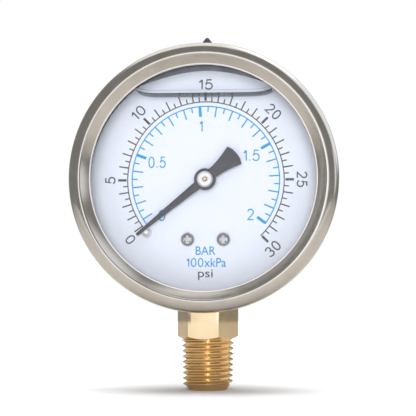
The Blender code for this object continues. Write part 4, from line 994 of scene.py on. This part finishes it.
# %% Unit names
def lettering(name, text, ink, x, z, high, wide, bolder=0.0):
    """Printed text centred at (x, z) from the dial's centre."""
    curve = bpy.data.curves.new(name, "FONT")
    curve.body = text
    curve.extrude = 0.5
    curve.offset = bolder
    curve.resolution_u = 4
    words = bpy.data.objects.new(name, curve)
    bpy.context.scene.collection.objects.link(words)
    bpy.context.view_layer.update()
    graph = bpy.context.evaluated_depsgraph_get()
    mesh = bpy.data.meshes.new_from_object(words.evaluated_get(graph))
    discard(words)
    xs = [v.co.x for v in mesh.vertices]
    ys = [v.co.y for v in mesh.vertices]
    broad, tall = max(xs) - min(xs), max(ys) - min(ys)
    scale = Matrix.Diagonal((wide / broad, high / tall, ink_thickness, 1.0))
    centred = Matrix.Translation((-(max(xs) + min(xs)) / 2, -(max(ys) + min(ys)) / 2, 0.0))
    upright = Matrix.Rotation(math.radians(90), 4, "X")
    there = Matrix.Translation((x, DIAL_FRONT + (INK_SUNK - INK_PROUD) / 2, DIAL_Z + z))
    mesh.transform(there @ upright @ scale @ centred)
    bm = bmesh.new()
    bm.from_mesh(mesh)
    settle_print(add_piece(name, bm, ink), ink)


lettering("unit_bar", "BAR", ink_blue, 0.0, -18.29 * MM, 2.23 * MM, 5.16 * MM, 0.008)
lettering("unit_kpa", "xkPa", ink_blue, 2.45 * MM, -21.35 * MM, 2.33 * MM, 5.65 * MM, 0.008)
lettering("unit_psi", "psi", ink_black, -0.05 * MM, -24.49 * MM, 2.76 * MM, 3.81 * MM, 0.004)

# %% [markdown]
# ## Pointer and hub
#
# The pointer is stamped from thin sheet, so its flat shape is the CAD node's own: the node's mesh
# is copied, its loose triangles are merged and its edges get a small bevel that catches the light.
# The bush that presses it on the shaft is turned, with a bore that shows the brass end of the
# shaft.

# %% Pointer and bush
MERGE = 1e-7  # metres


def node_copy(node):
    """A CAD node's shape in a bmesh of its own, its loose triangles joined at their corners."""
    bm = bmesh.new()
    bm.from_mesh(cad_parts[node].data)
    bm.transform(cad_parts[node].matrix_world)
    bmesh.ops.remove_doubles(bm, verts=bm.verts, dist=MERGE)
    return bm


def eased_copy(node, material, width):
    """A CAD node's shape with merged faces and bevelled edges, as a new piece."""
    bm = node_copy(node)
    bmesh.ops.dissolve_limit(bm, angle_limit=math.radians(1), verts=bm.verts, edges=bm.edges)
    sharp = [edge for edge in bm.edges if edge.calc_face_angle(0.0) > math.radians(50)]
    bmesh.ops.bevel(
        bm, geom=sharp, offset=width, segments=2, affect="EDGES", profile=0.5, clamp_overlap=True
    )
    return add_piece(node + "_eased", bm, material, 40.0)


POINTER_EASE = 0.08 * MM
pointer = eased_copy("pointer", pointer_black, POINTER_EASE)
settle(pointer, "pointer_body", "pointer_black", "pointer")

hub_low, hub_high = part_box("pointer_hub")
HUB_OUTER = (hub_high.x - hub_low.x) / 2
HUB_BORE = 0.6 * MM
HUB_NECK = 1.3 * MM
HUB_SHOULDER = hub_low.y + 0.6 * MM
hub_outline = rounded(
    [
        (HUB_BORE, hub_low.y + 0.08 * MM),
        (0.9 * MM, hub_low.y, 0.2 * MM),
        (HUB_OUTER - 0.35 * MM, hub_low.y + 0.02 * MM, 0.3 * MM),
        (HUB_OUTER, hub_low.y + 0.32 * MM, 0.12 * MM),
        (HUB_OUTER, HUB_SHOULDER, 0.1 * MM),
        (HUB_NECK, HUB_SHOULDER),
        (HUB_NECK, hub_high.y),
        (HUB_BORE, hub_high.y),
    ]
)
hub = lathe("pointer_bush", hub_outline, bright_steel, segments=96)
settle(hub, "pointer_body", "bright_hub", "pointer_hub")

# %% [markdown]
# ## Stop pin
#
# The stop pin holds the pointer just above zero. It is a small domed stud riveted through the dial,
# so it comes off the lathe with a broad foot on the dial's front and a thin shank behind.

# %% Stop pin
pin_low, pin_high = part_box("stop_pin")
pin_centre = ((pin_low.x + pin_high.x) / 2, 0.0, (pin_low.z + pin_high.z) / 2)
PIN_FOOT = (pin_high.x - pin_low.x) / 2
PIN_TIP = 0.6 * MM
PIN_SHANK = 0.5 * MM
PIN_SEAT = DIAL_FRONT - 0.3 * MM
pin_outline = rounded(
    [
        (0.0, pin_low.y),
        (PIN_TIP, pin_low.y, 0.2 * MM),
        (PIN_TIP, pin_low.y + 0.85 * MM, 0.15 * MM),
        (PIN_FOOT, pin_low.y + 1.1 * MM, 0.5 * MM),
        (PIN_FOOT, PIN_SEAT),
        (PIN_SHANK, PIN_SEAT),
        (PIN_SHANK, pin_high.y),
        (0.0, pin_high.y),
    ]
)
stop_pin = lathe("stop_stud", pin_outline, bright_steel, pin_centre, segments=64)
settle(stop_pin, "housing", "bright_hub", "stop_pin")

# %% [markdown]
# ## Screws
#
# The dial is held by two pan-head screws with a cross recess, and the case by two more from behind.
# One screw is modelled with its recess cut, and a small tree sets a copy at each place, so every
# screw of a pair stays the same when the model screw changes.

# %% A pan-head screw and the tree that repeats it
def cross_cutter(reach, half_width, low, high):
    """The tapered cross that a screwdriver tip leaves, along Y."""
    bm = bmesh.new()
    rows = []
    for y, share in ((low, 0.6), (high, 1.1)):
        row = []
        for quarter in range(4):
            turn = Matrix.Rotation(math.radians(45 + 90 * quarter), 2)
            for u, v in ((reach, -half_width), (reach, half_width), (half_width, half_width)):
                flat = turn @ Vector((u * share if u == reach else u, v))
                row.append(bm.verts.new((flat.x, y, flat.y)))
        rows.append(row)
    bm.faces.new(rows[0])
    bm.faces.new(rows[1][::-1])
    for corner in range(12):
        after = (corner + 1) % 12
        bm.faces.new((rows[0][corner], rows[0][after], rows[1][after], rows[1][corner]))
    return add_piece("cross_cutter", bm, screw_steel)


def pan_screw(name, head, high, shank, length, facing):
    """A pan-head screw along Y at the origin, seat at y = 0, its head towards facing."""
    outline = rounded(
        [
            (0.0, facing * high),
            (head * 0.78, facing * high * 0.93, head * 0.5),
            (head, facing * high * 0.35, head * 0.22),
            (head, 0.0, 0.06 * MM),
            (shank, 0.0),
            (shank, -facing * length),
            (0.0, -facing * length),
        ],
        steps=5,
    )
    body = lathe(name, outline, screw_steel, STEM_CENTRE, "y", 64)
    recess_foot, recess_mouth = facing * high * 0.4, facing * high * 1.2
    carved(body, cross_cutter(head * 0.62, head * 0.13, recess_foot, recess_mouth))
    print(name, "faces:", len(body.data.polygons))
    return body


screw_tree, SCREW_INPUTS, given = new_tree(
    "screw_pair",
    (
        ("Screw", "Geometry", None),
        ("Spread", "Float", 0.004),
        ("Depth", "Float", 0.0),
        ("Height", "Float", 0.0),
        ("Metal", "Material", None),
    ),
)
half = maths(screw_tree, "MULTIPLY", given["Spread"], 0.5)
left_of_centre = maths(screw_tree, "MULTIPLY", half, -1.0)
start = tree_node(
    screw_tree,
    "ShaderNodeCombineXYZ",
    (("X", left_of_centre), ("Y", given["Depth"]), ("Z", given["Height"])),
)
stride = tree_node(screw_tree, "ShaderNodeCombineXYZ", (("X", given["Spread"]),))
seats = tree_node(
    screw_tree,
    "GeometryNodeMeshLine",
    (("Count", 2), ("Start Location", start.outputs[0]), ("Offset", stride.outputs[0])),
)
pair = tree_node(
    screw_tree,
    "GeometryNodeInstanceOnPoints",
    (("Points", seats.outputs[0]), ("Instance", given["Screw"])),
)
finish_tree(screw_tree, pair.outputs[0], given["Metal"])


def screw_pair(name, model, depth, *nodes):
    """Two copies of the model screw at the places of its two CAD nodes."""
    left_low, left_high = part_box(nodes[0])
    right_low, right_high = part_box(nodes[1])
    left = (left_low + left_high) / 2
    right = (right_low + right_high) / 2
    values = {
        "Spread": right.x - left.x,
        "Depth": depth,
        "Height": left.z,
        "Metal": screw_steel,
    }
    piece = grown(name, screw_tree, SCREW_INPUTS, values, model.data)
    discard(model)
    settle(piece, "housing", "screw_steel", *nodes)


DIAL_SHANK = 0.8 * MM
BACK_SHANK = 1.2 * MM
BACK_HEAD = 1.37 * MM
dial_screw_low, dial_screw_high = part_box("dial_screw_left")
dial_screw_seat = PIN_SEAT
dial_model = pan_screw(
    "dial_screw_model",
    (dial_screw_high.x - dial_screw_low.x) / 2,
    dial_screw_seat - dial_screw_low.y,
    DIAL_SHANK,
    dial_screw_high.y - dial_screw_seat,
    -1,
)
screw_pair("dial_screws", dial_model, dial_screw_seat, "dial_screw_left", "dial_screw_right")

back_screw_low, back_screw_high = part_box("back_screw_left")
back_screw_seat = back_screw_high.y - BACK_HEAD
back_model = pan_screw(
    "back_screw_model",
    (back_screw_high.x - back_screw_low.x) / 2,
    BACK_HEAD,
    BACK_SHANK,
    back_screw_seat - back_screw_low.y,
    1,
)
screw_pair("back_screws", back_model, back_screw_seat, "back_screw_left", "back_screw_right")

# %% [markdown]
# ## Filler plug
#
# The plug that closes the filling hole is moulded rubber: a broad head, a stem with a catch inside
# the case, and a conical nipple whose tip is cut off to vent the gauge.

# %% Filler plug
PLUG_STEM = 2.4 * MM
PLUG_CATCH = 2.9 * MM
PLUG_HEAD = 4.5 * MM
PLUG_NIPPLE = 2.8 * MM
HEAD_LOW, HEAD_HIGH = CASE_OUTER + 0.3 * MM, CASE_OUTER + 1.8 * MM
PLUG_FOOT = plug_low.z - DIAL_Z
plug_axis = (0.0, plug_centre.y, DIAL_Z)
PLUG_TOP = plug_high.z - DIAL_Z
plug_outline = rounded(
    [
        (0.0, PLUG_FOOT),
        (PLUG_STEM, PLUG_FOOT, 0.2 * MM),
        (PLUG_CATCH, PLUG_FOOT + 1.0 * MM, 0.2 * MM),
        (PLUG_CATCH, PLUG_FOOT + 1.8 * MM, 0.1 * MM),
        (PLUG_STEM, PLUG_FOOT + 1.8 * MM),
        (PLUG_STEM, HEAD_LOW),
        (PLUG_HEAD, HEAD_LOW, 0.15 * MM),
        (PLUG_HEAD, HEAD_HIGH, 0.4 * MM),
        (PLUG_NIPPLE, HEAD_HIGH, 0.3 * MM),
        (PLUG_NIPPLE, PLUG_TOP - 3.2 * MM, 0.4 * MM),
        (0.35 * MM, PLUG_TOP, 0.12 * MM),
        (0.0, PLUG_TOP),
    ]
)
plug = lathe("filler_plug_moulding", plug_outline, black_rubber, plug_axis, "z", 96)
settle(plug, "housing", "black_rubber", "filler_plug")

# %% [markdown]
# ## Brass socket
#
# The socket is machined from one brass forging. Three pieces stand for it here: the taper thread,
# the wrench hexagon, and the neck with its block inside the case. A thread could be a Screw
# modifier on a tooth, but a skin wound in code gives a true taper, a rounded crest and closed ends.

# %% Thread
PITCH = 1.411 * MM
THREAD_DEPTH = 1.05 * MM
END_RADIUS = 6.55 * MM
CHAMFER_RADIUS = 4.9 * MM
TAPER = 1 / 32  # on the radius
THREAD_START = 0.12 * MM
HEX_LOW = 13.3 * MM
HEX_HIGH = 22.0 * MM
TURN_STEPS = 96
# One tooth from root to root: (share of the pitch, depth below the crest).
TOOTH = (
    (0.05, THREAD_DEPTH),
    (0.14, THREAD_DEPTH * 0.86),
    (0.40, THREAD_DEPTH * 0.20),
    (0.46, THREAD_DEPTH * 0.06),
    (0.54, THREAD_DEPTH * 0.06),
    (0.60, THREAD_DEPTH * 0.20),
    (0.86, THREAD_DEPTH * 0.86),
    (0.95, THREAD_DEPTH),
)


def thread_skin(top):
    """A taper thread wound as strips of root, flank and crest, closed at both ends."""
    start = THREAD_START
    last = TURN_STEPS * math.ceil((top - start) / PITCH)
    bm = bmesh.new()

    def point(step, height, depth):
        radius = min(END_RADIUS + height * TAPER - depth, CHAMFER_RADIUS + height)
        angle = 2 * math.pi * step / TURN_STEPS
        return bm.verts.new((radius * math.cos(angle), radius * math.sin(angle), height))

    rows = []
    for order, (share, depth) in enumerate(TOOTH):
        count = last + 1 if order == 0 else last + 1 - TURN_STEPS
        rows.append([point(s, start + PITCH * (s / TURN_STEPS + share), depth) for s in range(count)])
    foot = [point(s, 0.0, THREAD_DEPTH) for s in range(TURN_STEPS)]
    end_height = start + PITCH * (last / TURN_STEPS + 0.5)
    lid = [point(s, end_height, 1.3 * THREAD_DEPTH) for s in range(TURN_STEPS)]
    for step in range(last - TURN_STEPS):
        for row, following in zip(rows, rows[1:]):
            bm.faces.new((row[step], row[step + 1], following[step + 1], following[step]))
        above = rows[0][step + TURN_STEPS], rows[0][step + TURN_STEPS + 1]
        bm.faces.new((rows[-1][step], rows[-1][step + 1], above[1], above[0]))
    for step in range(TURN_STEPS):
        after = (step + 1) % TURN_STEPS
        bm.faces.new((foot[step], foot[after], rows[0][step + 1], rows[0][step]))
        above = last - TURN_STEPS + step
        bm.faces.new((rows[0][above], rows[0][above + 1], lid[after], lid[step]))
    bm.faces.new([foot[0]] + [row[0] for row in rows] + [rows[0][TURN_STEPS]])
    bm.faces.new([row[-1] for row in rows[1:]] + [rows[0][last], lid[0], rows[0][last - TURN_STEPS]])
    bm.faces.new(foot[::-1])
    bm.faces.new(lid)
    return add_piece("socket_thread", bm, socket_brass, 60.0)


BORE, BORE_DEPTH = 2.4 * MM, 8.0 * MM
NARROW_BORE, NARROW_DEPTH = 1.8 * MM, 11.7 * MM
thread = thread_skin(HEX_LOW + 0.3 * MM)
carved(
    thread,
    drill_bit(BORE, -1 * MM, BORE_DEPTH, STEM_CENTRE, "z"),
    drill_bit(NARROW_BORE, BORE_DEPTH - 0.5 * MM, NARROW_DEPTH, STEM_CENTRE, "z"),
)
settle(thread, "housing", "socket_brass", "socket")

# %% [markdown]
# The hexagon starts as a plain bar with barely broken corners. Its two ends are turned off at 30
# degrees, which gives each flat its curved shoulders. Meeting it with a turned shape does that in
# one Boolean.

# %% Hexagon
ACROSS_FLATS = 14.0 * MM
HEX_TURN = -5.5  # degrees
END_ANGLE = math.radians(30)
CORNER_EASE = 0.05 * MM


def hexagon():
    """A hexagonal bar whose ends are turned off at 30 degrees, with eased corners."""
    corner = ACROSS_FLATS / 2 / math.cos(math.radians(30))
    bm = bmesh.new()
    rings = []
    for z in (HEX_LOW, HEX_HIGH):
        ring = []
        for index in range(6):
            angle = math.radians(HEX_TURN + 60 * index)
            ring.append(bm.verts.new((corner * math.cos(angle), corner * math.sin(angle), z)))
        rings.append(ring)
    bm.faces.new(rings[0][::-1])
    bm.faces.new(rings[1])
    for index in range(6):
        after = (index + 1) % 6
        bm.faces.new((rings[0][index], rings[0][after], rings[1][after], rings[1][index]))
    upright = [edge for edge in bm.edges if abs(edge.verts[0].co.z - edge.verts[1].co.z) > MM]
    bmesh.ops.bevel(bm, geom=upright, offset=CORNER_EASE, segments=2, affect="EDGES", profile=0.5)
    bar_stock = add_piece("socket_hexagon", bm, wrench_brass)
    flat = ACROSS_FLATS / 2 * 0.97
    wide = corner * 1.1
    fall = (wide - flat) * math.tan(END_ANGLE)
    turned_ends = [
        Vector((0.0, HEX_LOW)),
        Vector((flat, HEX_LOW)),
        Vector((wide, HEX_LOW + fall)),
        Vector((wide, HEX_HIGH - fall)),
        Vector((flat, HEX_HIGH)),
        Vector((0.0, HEX_HIGH)),
    ]
    envelope = lathe("hex_envelope", turned_ends, socket_brass, STEM_CENTRE, "z", 144)
    return carved(bar_stock, envelope, operation="INTERSECT")


hexagon_piece = hexagon()
settle(hexagon_piece, "housing", "socket_brass", "socket")

# %% [markdown]
# Inside the case the socket is a milled block with many pockets, whose CAD shape is already right.
# It is cut off level just above the hexagon, and the cut is closed, so the neck and the hexagon end
# face to face.

# %% Neck and block
def upper_socket():
    """The CAD socket above the hexagon: neck, block and their holes, cut off level and closed."""
    bm = node_copy("socket")
    level = Vector((0.0, 0.0, HEX_HIGH + 0.05 * MM))
    everything = bm.verts[:] + bm.edges[:] + bm.faces[:]
    cut = bmesh.ops.bisect_plane(
        bm, geom=everything, plane_co=level, plane_no=(0, 0, 1), clear_inner=True
    )
    rim = [item for item in cut["geom_cut"] if isinstance(item, bmesh.types.BMEdge)]
    bmesh.ops.triangle_fill(bm, edges=rim, use_beauty=True)
    return add_piece("socket_block", bm, socket_brass, 30.0)


socket_block = upper_socket()
settle(socket_block, "housing", "socket_brass", "socket")

# %% [markdown]
# ## Liquid
#
# The case is filled with clear glycerine, all but a bubble at the top. Only its surface is seen: a
# level strip between the window and the dial that climbs a little at both, as liquids do at a wall.
# Each part of it is a thin closed skin along the same curve, so one helper makes them all from a
# section. Two strips beside it stand for what is seen through the surface: a pale film over the
# tips of the marks, which is a painted reflection of the white dial in the surface, and, through the
# bubble, a dark strip of painted shade for the shaded wall of the case above the dial.

# %% Liquid surface
LEVEL = 21.65 * MM
BUBBLE_WALL = 29.0 * MM
END_CLIMB, END_SHARPNESS = 3.0 * MM, 10
SURFACE_SKIN = 0.10 * MM
WALL_GAP = 0.15 * MM
EDGE_BEAD = 0.11 * MM
EDGE_GAP = 0.2 * MM
CLIMB_GAP = 0.1 * MM
MENISCUS = 0.8 * MM
FILM_FRONT, FILM_BACK = 0.20 * MM, 0.16 * MM
FILM_HEIGHT = 1.05 * MM
bubble_half = math.sqrt(BUBBLE_WALL**2 - LEVEL**2)


def level_height(x):
    """The liquid's height above the dial's centre: level, and drawn up at the case wall."""
    return LEVEL + END_CLIMB * (abs(x) / bubble_half) ** END_SHARPNESS


def level_strip(name, reach, section, material, columns=64):
    """A closed skin along the liquid's surface; its columns are closer together near the ends."""
    bm = bmesh.new()
    rows = []
    for index in range(columns + 1):
        x = reach * bubble_half * math.sin((-1 + 2 * index / columns) * math.pi / 2)
        z = DIAL_Z + level_height(x)
        rows.append([bm.verts.new((x, y, z + rise)) for y, rise in section])
    closed_strip(bm, rows)
    settle(add_piece(name, bm, material, 60.0), "housing", "clear_window")


def bead(y, lift, radius, sides=8):
    """A round section, for a fine bead where the liquid meets a wall."""
    turns = [2 * math.pi * side / sides for side in range(sides)]
    return [(y + radius * math.cos(turn), lift + radius * math.sin(turn)) for turn in turns]


def painted_wall_shade():
    """A dark strip of painted shade for the case wall between the dial's edge and the lip, seen
    through the bubble only.
    """
    columns, span = 64, 34.0
    outer, inner_middle, inner_drop = 30.0 * MM, 28.4 * MM, 1.5 * MM
    front, back = DIAL_FRONT - 0.06 * MM, DIAL_FRONT - 0.02 * MM
    bm = bmesh.new()
    rows = []
    for index in range(columns + 1):
        share = -1 + 2 * index / columns
        turn = math.radians(90 + span * share)
        inner = inner_middle + inner_drop * abs(share) ** 3
        row = []
        for r, y in box_section(inner, outer, front, back):
            row.append(bm.verts.new((r * math.cos(turn), y, DIAL_Z + r * math.sin(turn))))
        rows.append(row)
    closed_strip(bm, rows)
    return add_piece("painted_wall_shade", bm, painted_shade_steel, 60.0)


# The film over the mark tips is a painted reflection of the white dial in the liquid's surface.
film = box_section(DIAL_FRONT - FILM_FRONT, DIAL_FRONT - FILM_BACK, 0.0, FILM_HEIGHT)
level_strip("painted_dial_reflection", 0.80, film, dial_reflection_paint)
# The strip above the dial is painted shade for the dim case wall seen through the bubble.
settle(painted_wall_shade(), "housing", "polished_steel")
surface = box_section(WINDOW_BACK + WALL_GAP, DIAL_FRONT - WALL_GAP, 0.0, SURFACE_SKIN)
level_strip("liquid_surface", 0.90, surface, liquid_clear)
window_bead = bead(WINDOW_BACK + EDGE_GAP, 0.0, EDGE_BEAD)
level_strip("liquid_edge_window", 0.90, window_bead, liquid_rim, 72)
dial_bead = bead(DIAL_FRONT - EDGE_GAP, 0.0, EDGE_BEAD * 0.9)
level_strip("liquid_edge_dial", 0.92, dial_bead, liquid_rim, 72)
climb_bead = bead(WINDOW_BACK + CLIMB_GAP, MENISCUS, EDGE_BEAD * 0.6)
level_strip("liquid_climb_window", 0.88, climb_bead, liquid_rim, 72)

# %% [markdown]
# ## Bourdon tube
#
# The tube is soft: its root stays in the block while its tip swings with the link. The CAD shape is
# right, so its merged copy stands for the node and rides on the housing.

# %% Bourdon tube
tube = add_piece("bourdon_tube_skin", node_copy("bourdon_tube"), spring_bronze, 30.0)
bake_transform(tube)
settle(tube, "housing", "spring_bronze", "bourdon_tube")

# %% [markdown]
# ## Finishes for the movement
#
# The rest of the CAD is already the right shape: plates, pillars, gears, arbors and small screws
# inside the case. Each takes its finish from the name of its material slot in model.glb.

# %% Materials of the carried-over nodes
FINISHES = {
    "polished_steel": polished_steel,
    "screw_steel": screw_steel,
    "bright_hub": bright_steel,
    "socket_brass": socket_brass,
    "movement_brass": movement_brass,
    "spring_bronze": spring_bronze,
    "black_rubber": black_rubber,
    "dial_white": dial_white,
    "pointer_black": pointer_black,
    "clear_window": window_glass,
}
for node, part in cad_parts.items():
    for material_slot in part.material_slots:
        name = material_slot.material.name.split(".")[0]
        material_slot.material = FINISHES[name]
shown_nodes = [node for node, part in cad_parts.items() if not part.hide_render]
print("carried-over nodes:", len(shown_nodes), shown_nodes)

# %% [markdown]
# ## Floor, surround and light
#
# The gauge stands on a pale disc in a white surround. Polished metal is only as good as what it
# mirrors, so reflections see other tones than the eye does: the flats of the hexagon mirror the
# floor, and a pure white floor would wash the brass out. In a mirror it is a warm grey that darkens
# with distance, and paler in front. The disc's far edge then gives each flat its level dividing
# line. The floor is only a stage, and isn't part of the object.

# %% Floor
TABLE_RADIUS = 0.48
RIM_STEP = 3  # degrees
MIRROR_NEAR = (0.58, 0.54, 0.49)
MIRROR_FAR = (0.36, 0.33, 0.29)
MIRROR_FRONT = (0.66, 0.65, 0.63)
FAR_RANGE = (0.12, 0.30)  # distance from the stem
FRONT_RANGE = (-0.08, -0.25)  # along Y, towards the camera
floor_mesh = bpy.data.meshes.new("floor")
rim_turns = [math.radians(step) for step in range(0, 360, RIM_STEP)]
floor_rim = [(TABLE_RADIUS * math.cos(turn), TABLE_RADIUS * math.sin(turn), 0.0) for turn in rim_turns]
floor_mesh.from_pydata(floor_rim, [], [range(len(floor_rim))])
floor_pale = painted("floor_pale", (0.93, 0.93, 0.93), (0.95, 0.95, 0.95), (0.8, 0.9), 30.0)
floor_mesh.materials.append(floor_pale)
floor_shader = floor_pale.node_tree.nodes["Principled BSDF"]
floor_colour = floor_shader.inputs["Base Color"].links[0].from_socket

along = add_node(floor_pale, "ShaderNodeSeparateXYZ")
wire(floor_pale, object_position(floor_pale), along.inputs[0])
nearness = spread(floor_pale, along.outputs["Y"], between=FRONT_RANGE)
distance = add_node(floor_pale, "ShaderNodeVectorMath", operation="LENGTH")
wire(floor_pale, object_position(floor_pale), distance.inputs[0])
farness = spread(floor_pale, distance.outputs["Value"], between=FAR_RANGE)
round_about = two_colours(floor_pale, farness, MIRROR_NEAR, MIRROR_FAR)
in_mirror = two_colours(floor_pale, nearness, round_about, MIRROR_FRONT)
seen_by = add_node(floor_pale, "ShaderNodeLightPath")
shown_floor = two_colours(floor_pale, seen_by.outputs["Is Glossy Ray"], floor_colour, in_mirror)
wire(floor_pale, shown_floor, floor_shader.inputs["Base Color"])

floor = bpy.data.objects.new("floor", floor_mesh)
bpy.context.scene.collection.objects.link(floor)
print("floor radius, mm:", round(TABLE_RADIUS / MM))

# %% [markdown]
# The surround is a painted studio. Mirrors see a dim room with four soft panels: one in front,
# behind the camera, one overhead at the back, one high on the right and one low on the right. Dull
# surfaces are lit by an even grey instead, and the view itself shows plain white, whichever way the
# camera stands. Real panels could stand in the scene, but their light would then fall on the dial
# as well.

# %% Painted studio
world = bpy.data.worlds.new("studio")
bpy.context.scene.world = world
world.use_nodes = True
studio = world.node_tree
background = studio.nodes["Background"]
ROOM = (0.30, 0.29, 0.28)
# direction (x, y, z), half angle of the full panel, half angle where it has faded, colour
PANELS = (
    ((0.00, -1.00, 0.03), 8.0, 22.0, (1.5, 1.5, 1.53)),
    ((0.00, 0.42, 0.91), 28.0, 36.0, (1.05, 1.03, 1.00)),
    ((0.64, 0.42, 0.64), 28.0, 37.0, (1.00, 1.03, 1.10)),
    ((0.992, -0.02, 0.12), 6.0, 14.0, (0.85, 0.86, 0.88)),
)
DIFFUSE_ROOM = (0.32, 0.32, 0.33, 1.0)
WHITE = (1.0, 1.0, 1.0, 1.0)


def vector_maths(operation, *inputs):
    return tree_node(studio, "ShaderNodeVectorMath", inputs, operation=operation).outputs


def share_of(factor, first, second):
    """A colour that turns from first to second as the factor goes from 0 to 1."""
    links = (("Factor", factor), (COLOUR_A, first), (COLOUR_B, second))
    return tree_node(studio, "ShaderNodeMix", links, data_type="RGBA").outputs[COLOUR_OUT]


direction = tree_node(studio, "ShaderNodeTexCoord").outputs["Generated"]
unit = vector_maths("NORMALIZE", (0, direction))[0]
light_sum = ROOM
for towards, full, faded, colour in PANELS:
    dot = vector_maths("DOT_PRODUCT", (0, unit), (1, tuple(Vector(towards).normalized())))["Value"]
    faded_cosine, full_cosine = math.cos(math.radians(faded)), math.cos(math.radians(full))
    edge = tree_node(
        studio,
        "ShaderNodeMapRange",
        (("Value", dot), ("From Min", faded_cosine), ("From Max", full_cosine)),
        interpolation_type="SMOOTHSTEP",
    ).outputs["Result"]
    panel = vector_maths("SCALE", (0, colour), ("Scale", edge))[0]
    light_sum = vector_maths("ADD", (0, light_sum), (1, panel))[0]

ray = tree_node(studio, "ShaderNodeLightPath").outputs
for_paint = share_of(ray["Is Diffuse Ray"], light_sum, DIFFUSE_ROOM)
for_view = share_of(ray["Is Camera Ray"], for_paint, WHITE)
studio.links.new(for_view, background.inputs["Color"])
print("studio panels:", len(PANELS))

# %% [markdown]
# Two soft lamps light the paint from the front, and a broad sun overhead whitens the floor. None of
# them shows in mirrors. A tall narrow strip does, but it lights the thread only, as the bright line
# a window draws down a screw. Light linking keeps it off everything else.

# %% Lamps
def soft_lamp(name, place, target, size, power, in_mirrors):
    """A square area lamp. One that is left out of mirror images only lifts the paint."""
    data = bpy.data.lights.new(name, "AREA")
    data.shape = "SQUARE"
    data.size = size
    data.energy = power
    lamp = bpy.data.objects.new(name, data)
    lamp.location = place
    lamp.rotation_euler = (Vector(target) - Vector(place)).to_track_quat("-Z", "Y").to_euler()
    lamp.visible_glossy = in_mirrors
    lamp.visible_camera = False
    bpy.context.scene.collection.objects.link(lamp)
    return lamp


THREAD_MIDDLE = (0, 0, 0.006)
STRIP_WIDTH, STRIP_HEIGHT = 0.03, 1.6
soft_lamp("key", (-0.03, -0.85, 0.80), DIAL_CENTRE, 0.35, 1.5, False)
soft_lamp("front_wash", (0.06, -1.20, 0.12), DIAL_CENTRE, 0.50, 10.5, False)
thread_strip = soft_lamp("thread_strip", (0.055, -0.70, 0.0), THREAD_MIDDLE, STRIP_WIDTH, 2.2, True)
thread_strip.data.shape = "RECTANGLE"
thread_strip.data.size_y = STRIP_HEIGHT
strip_lights = bpy.data.collections.new("lit_by_thread_strip")
strip_lights.objects.link(thread)
thread_strip.light_linking.receiver_collection = strip_lights

overhead_data = bpy.data.lights.new("overhead", "SUN")
overhead_data.energy = 3.6
overhead_data.angle = math.radians(60)
overhead = bpy.data.objects.new("overhead", overhead_data)
overhead.visible_glossy = False
bpy.context.scene.collection.objects.link(overhead)
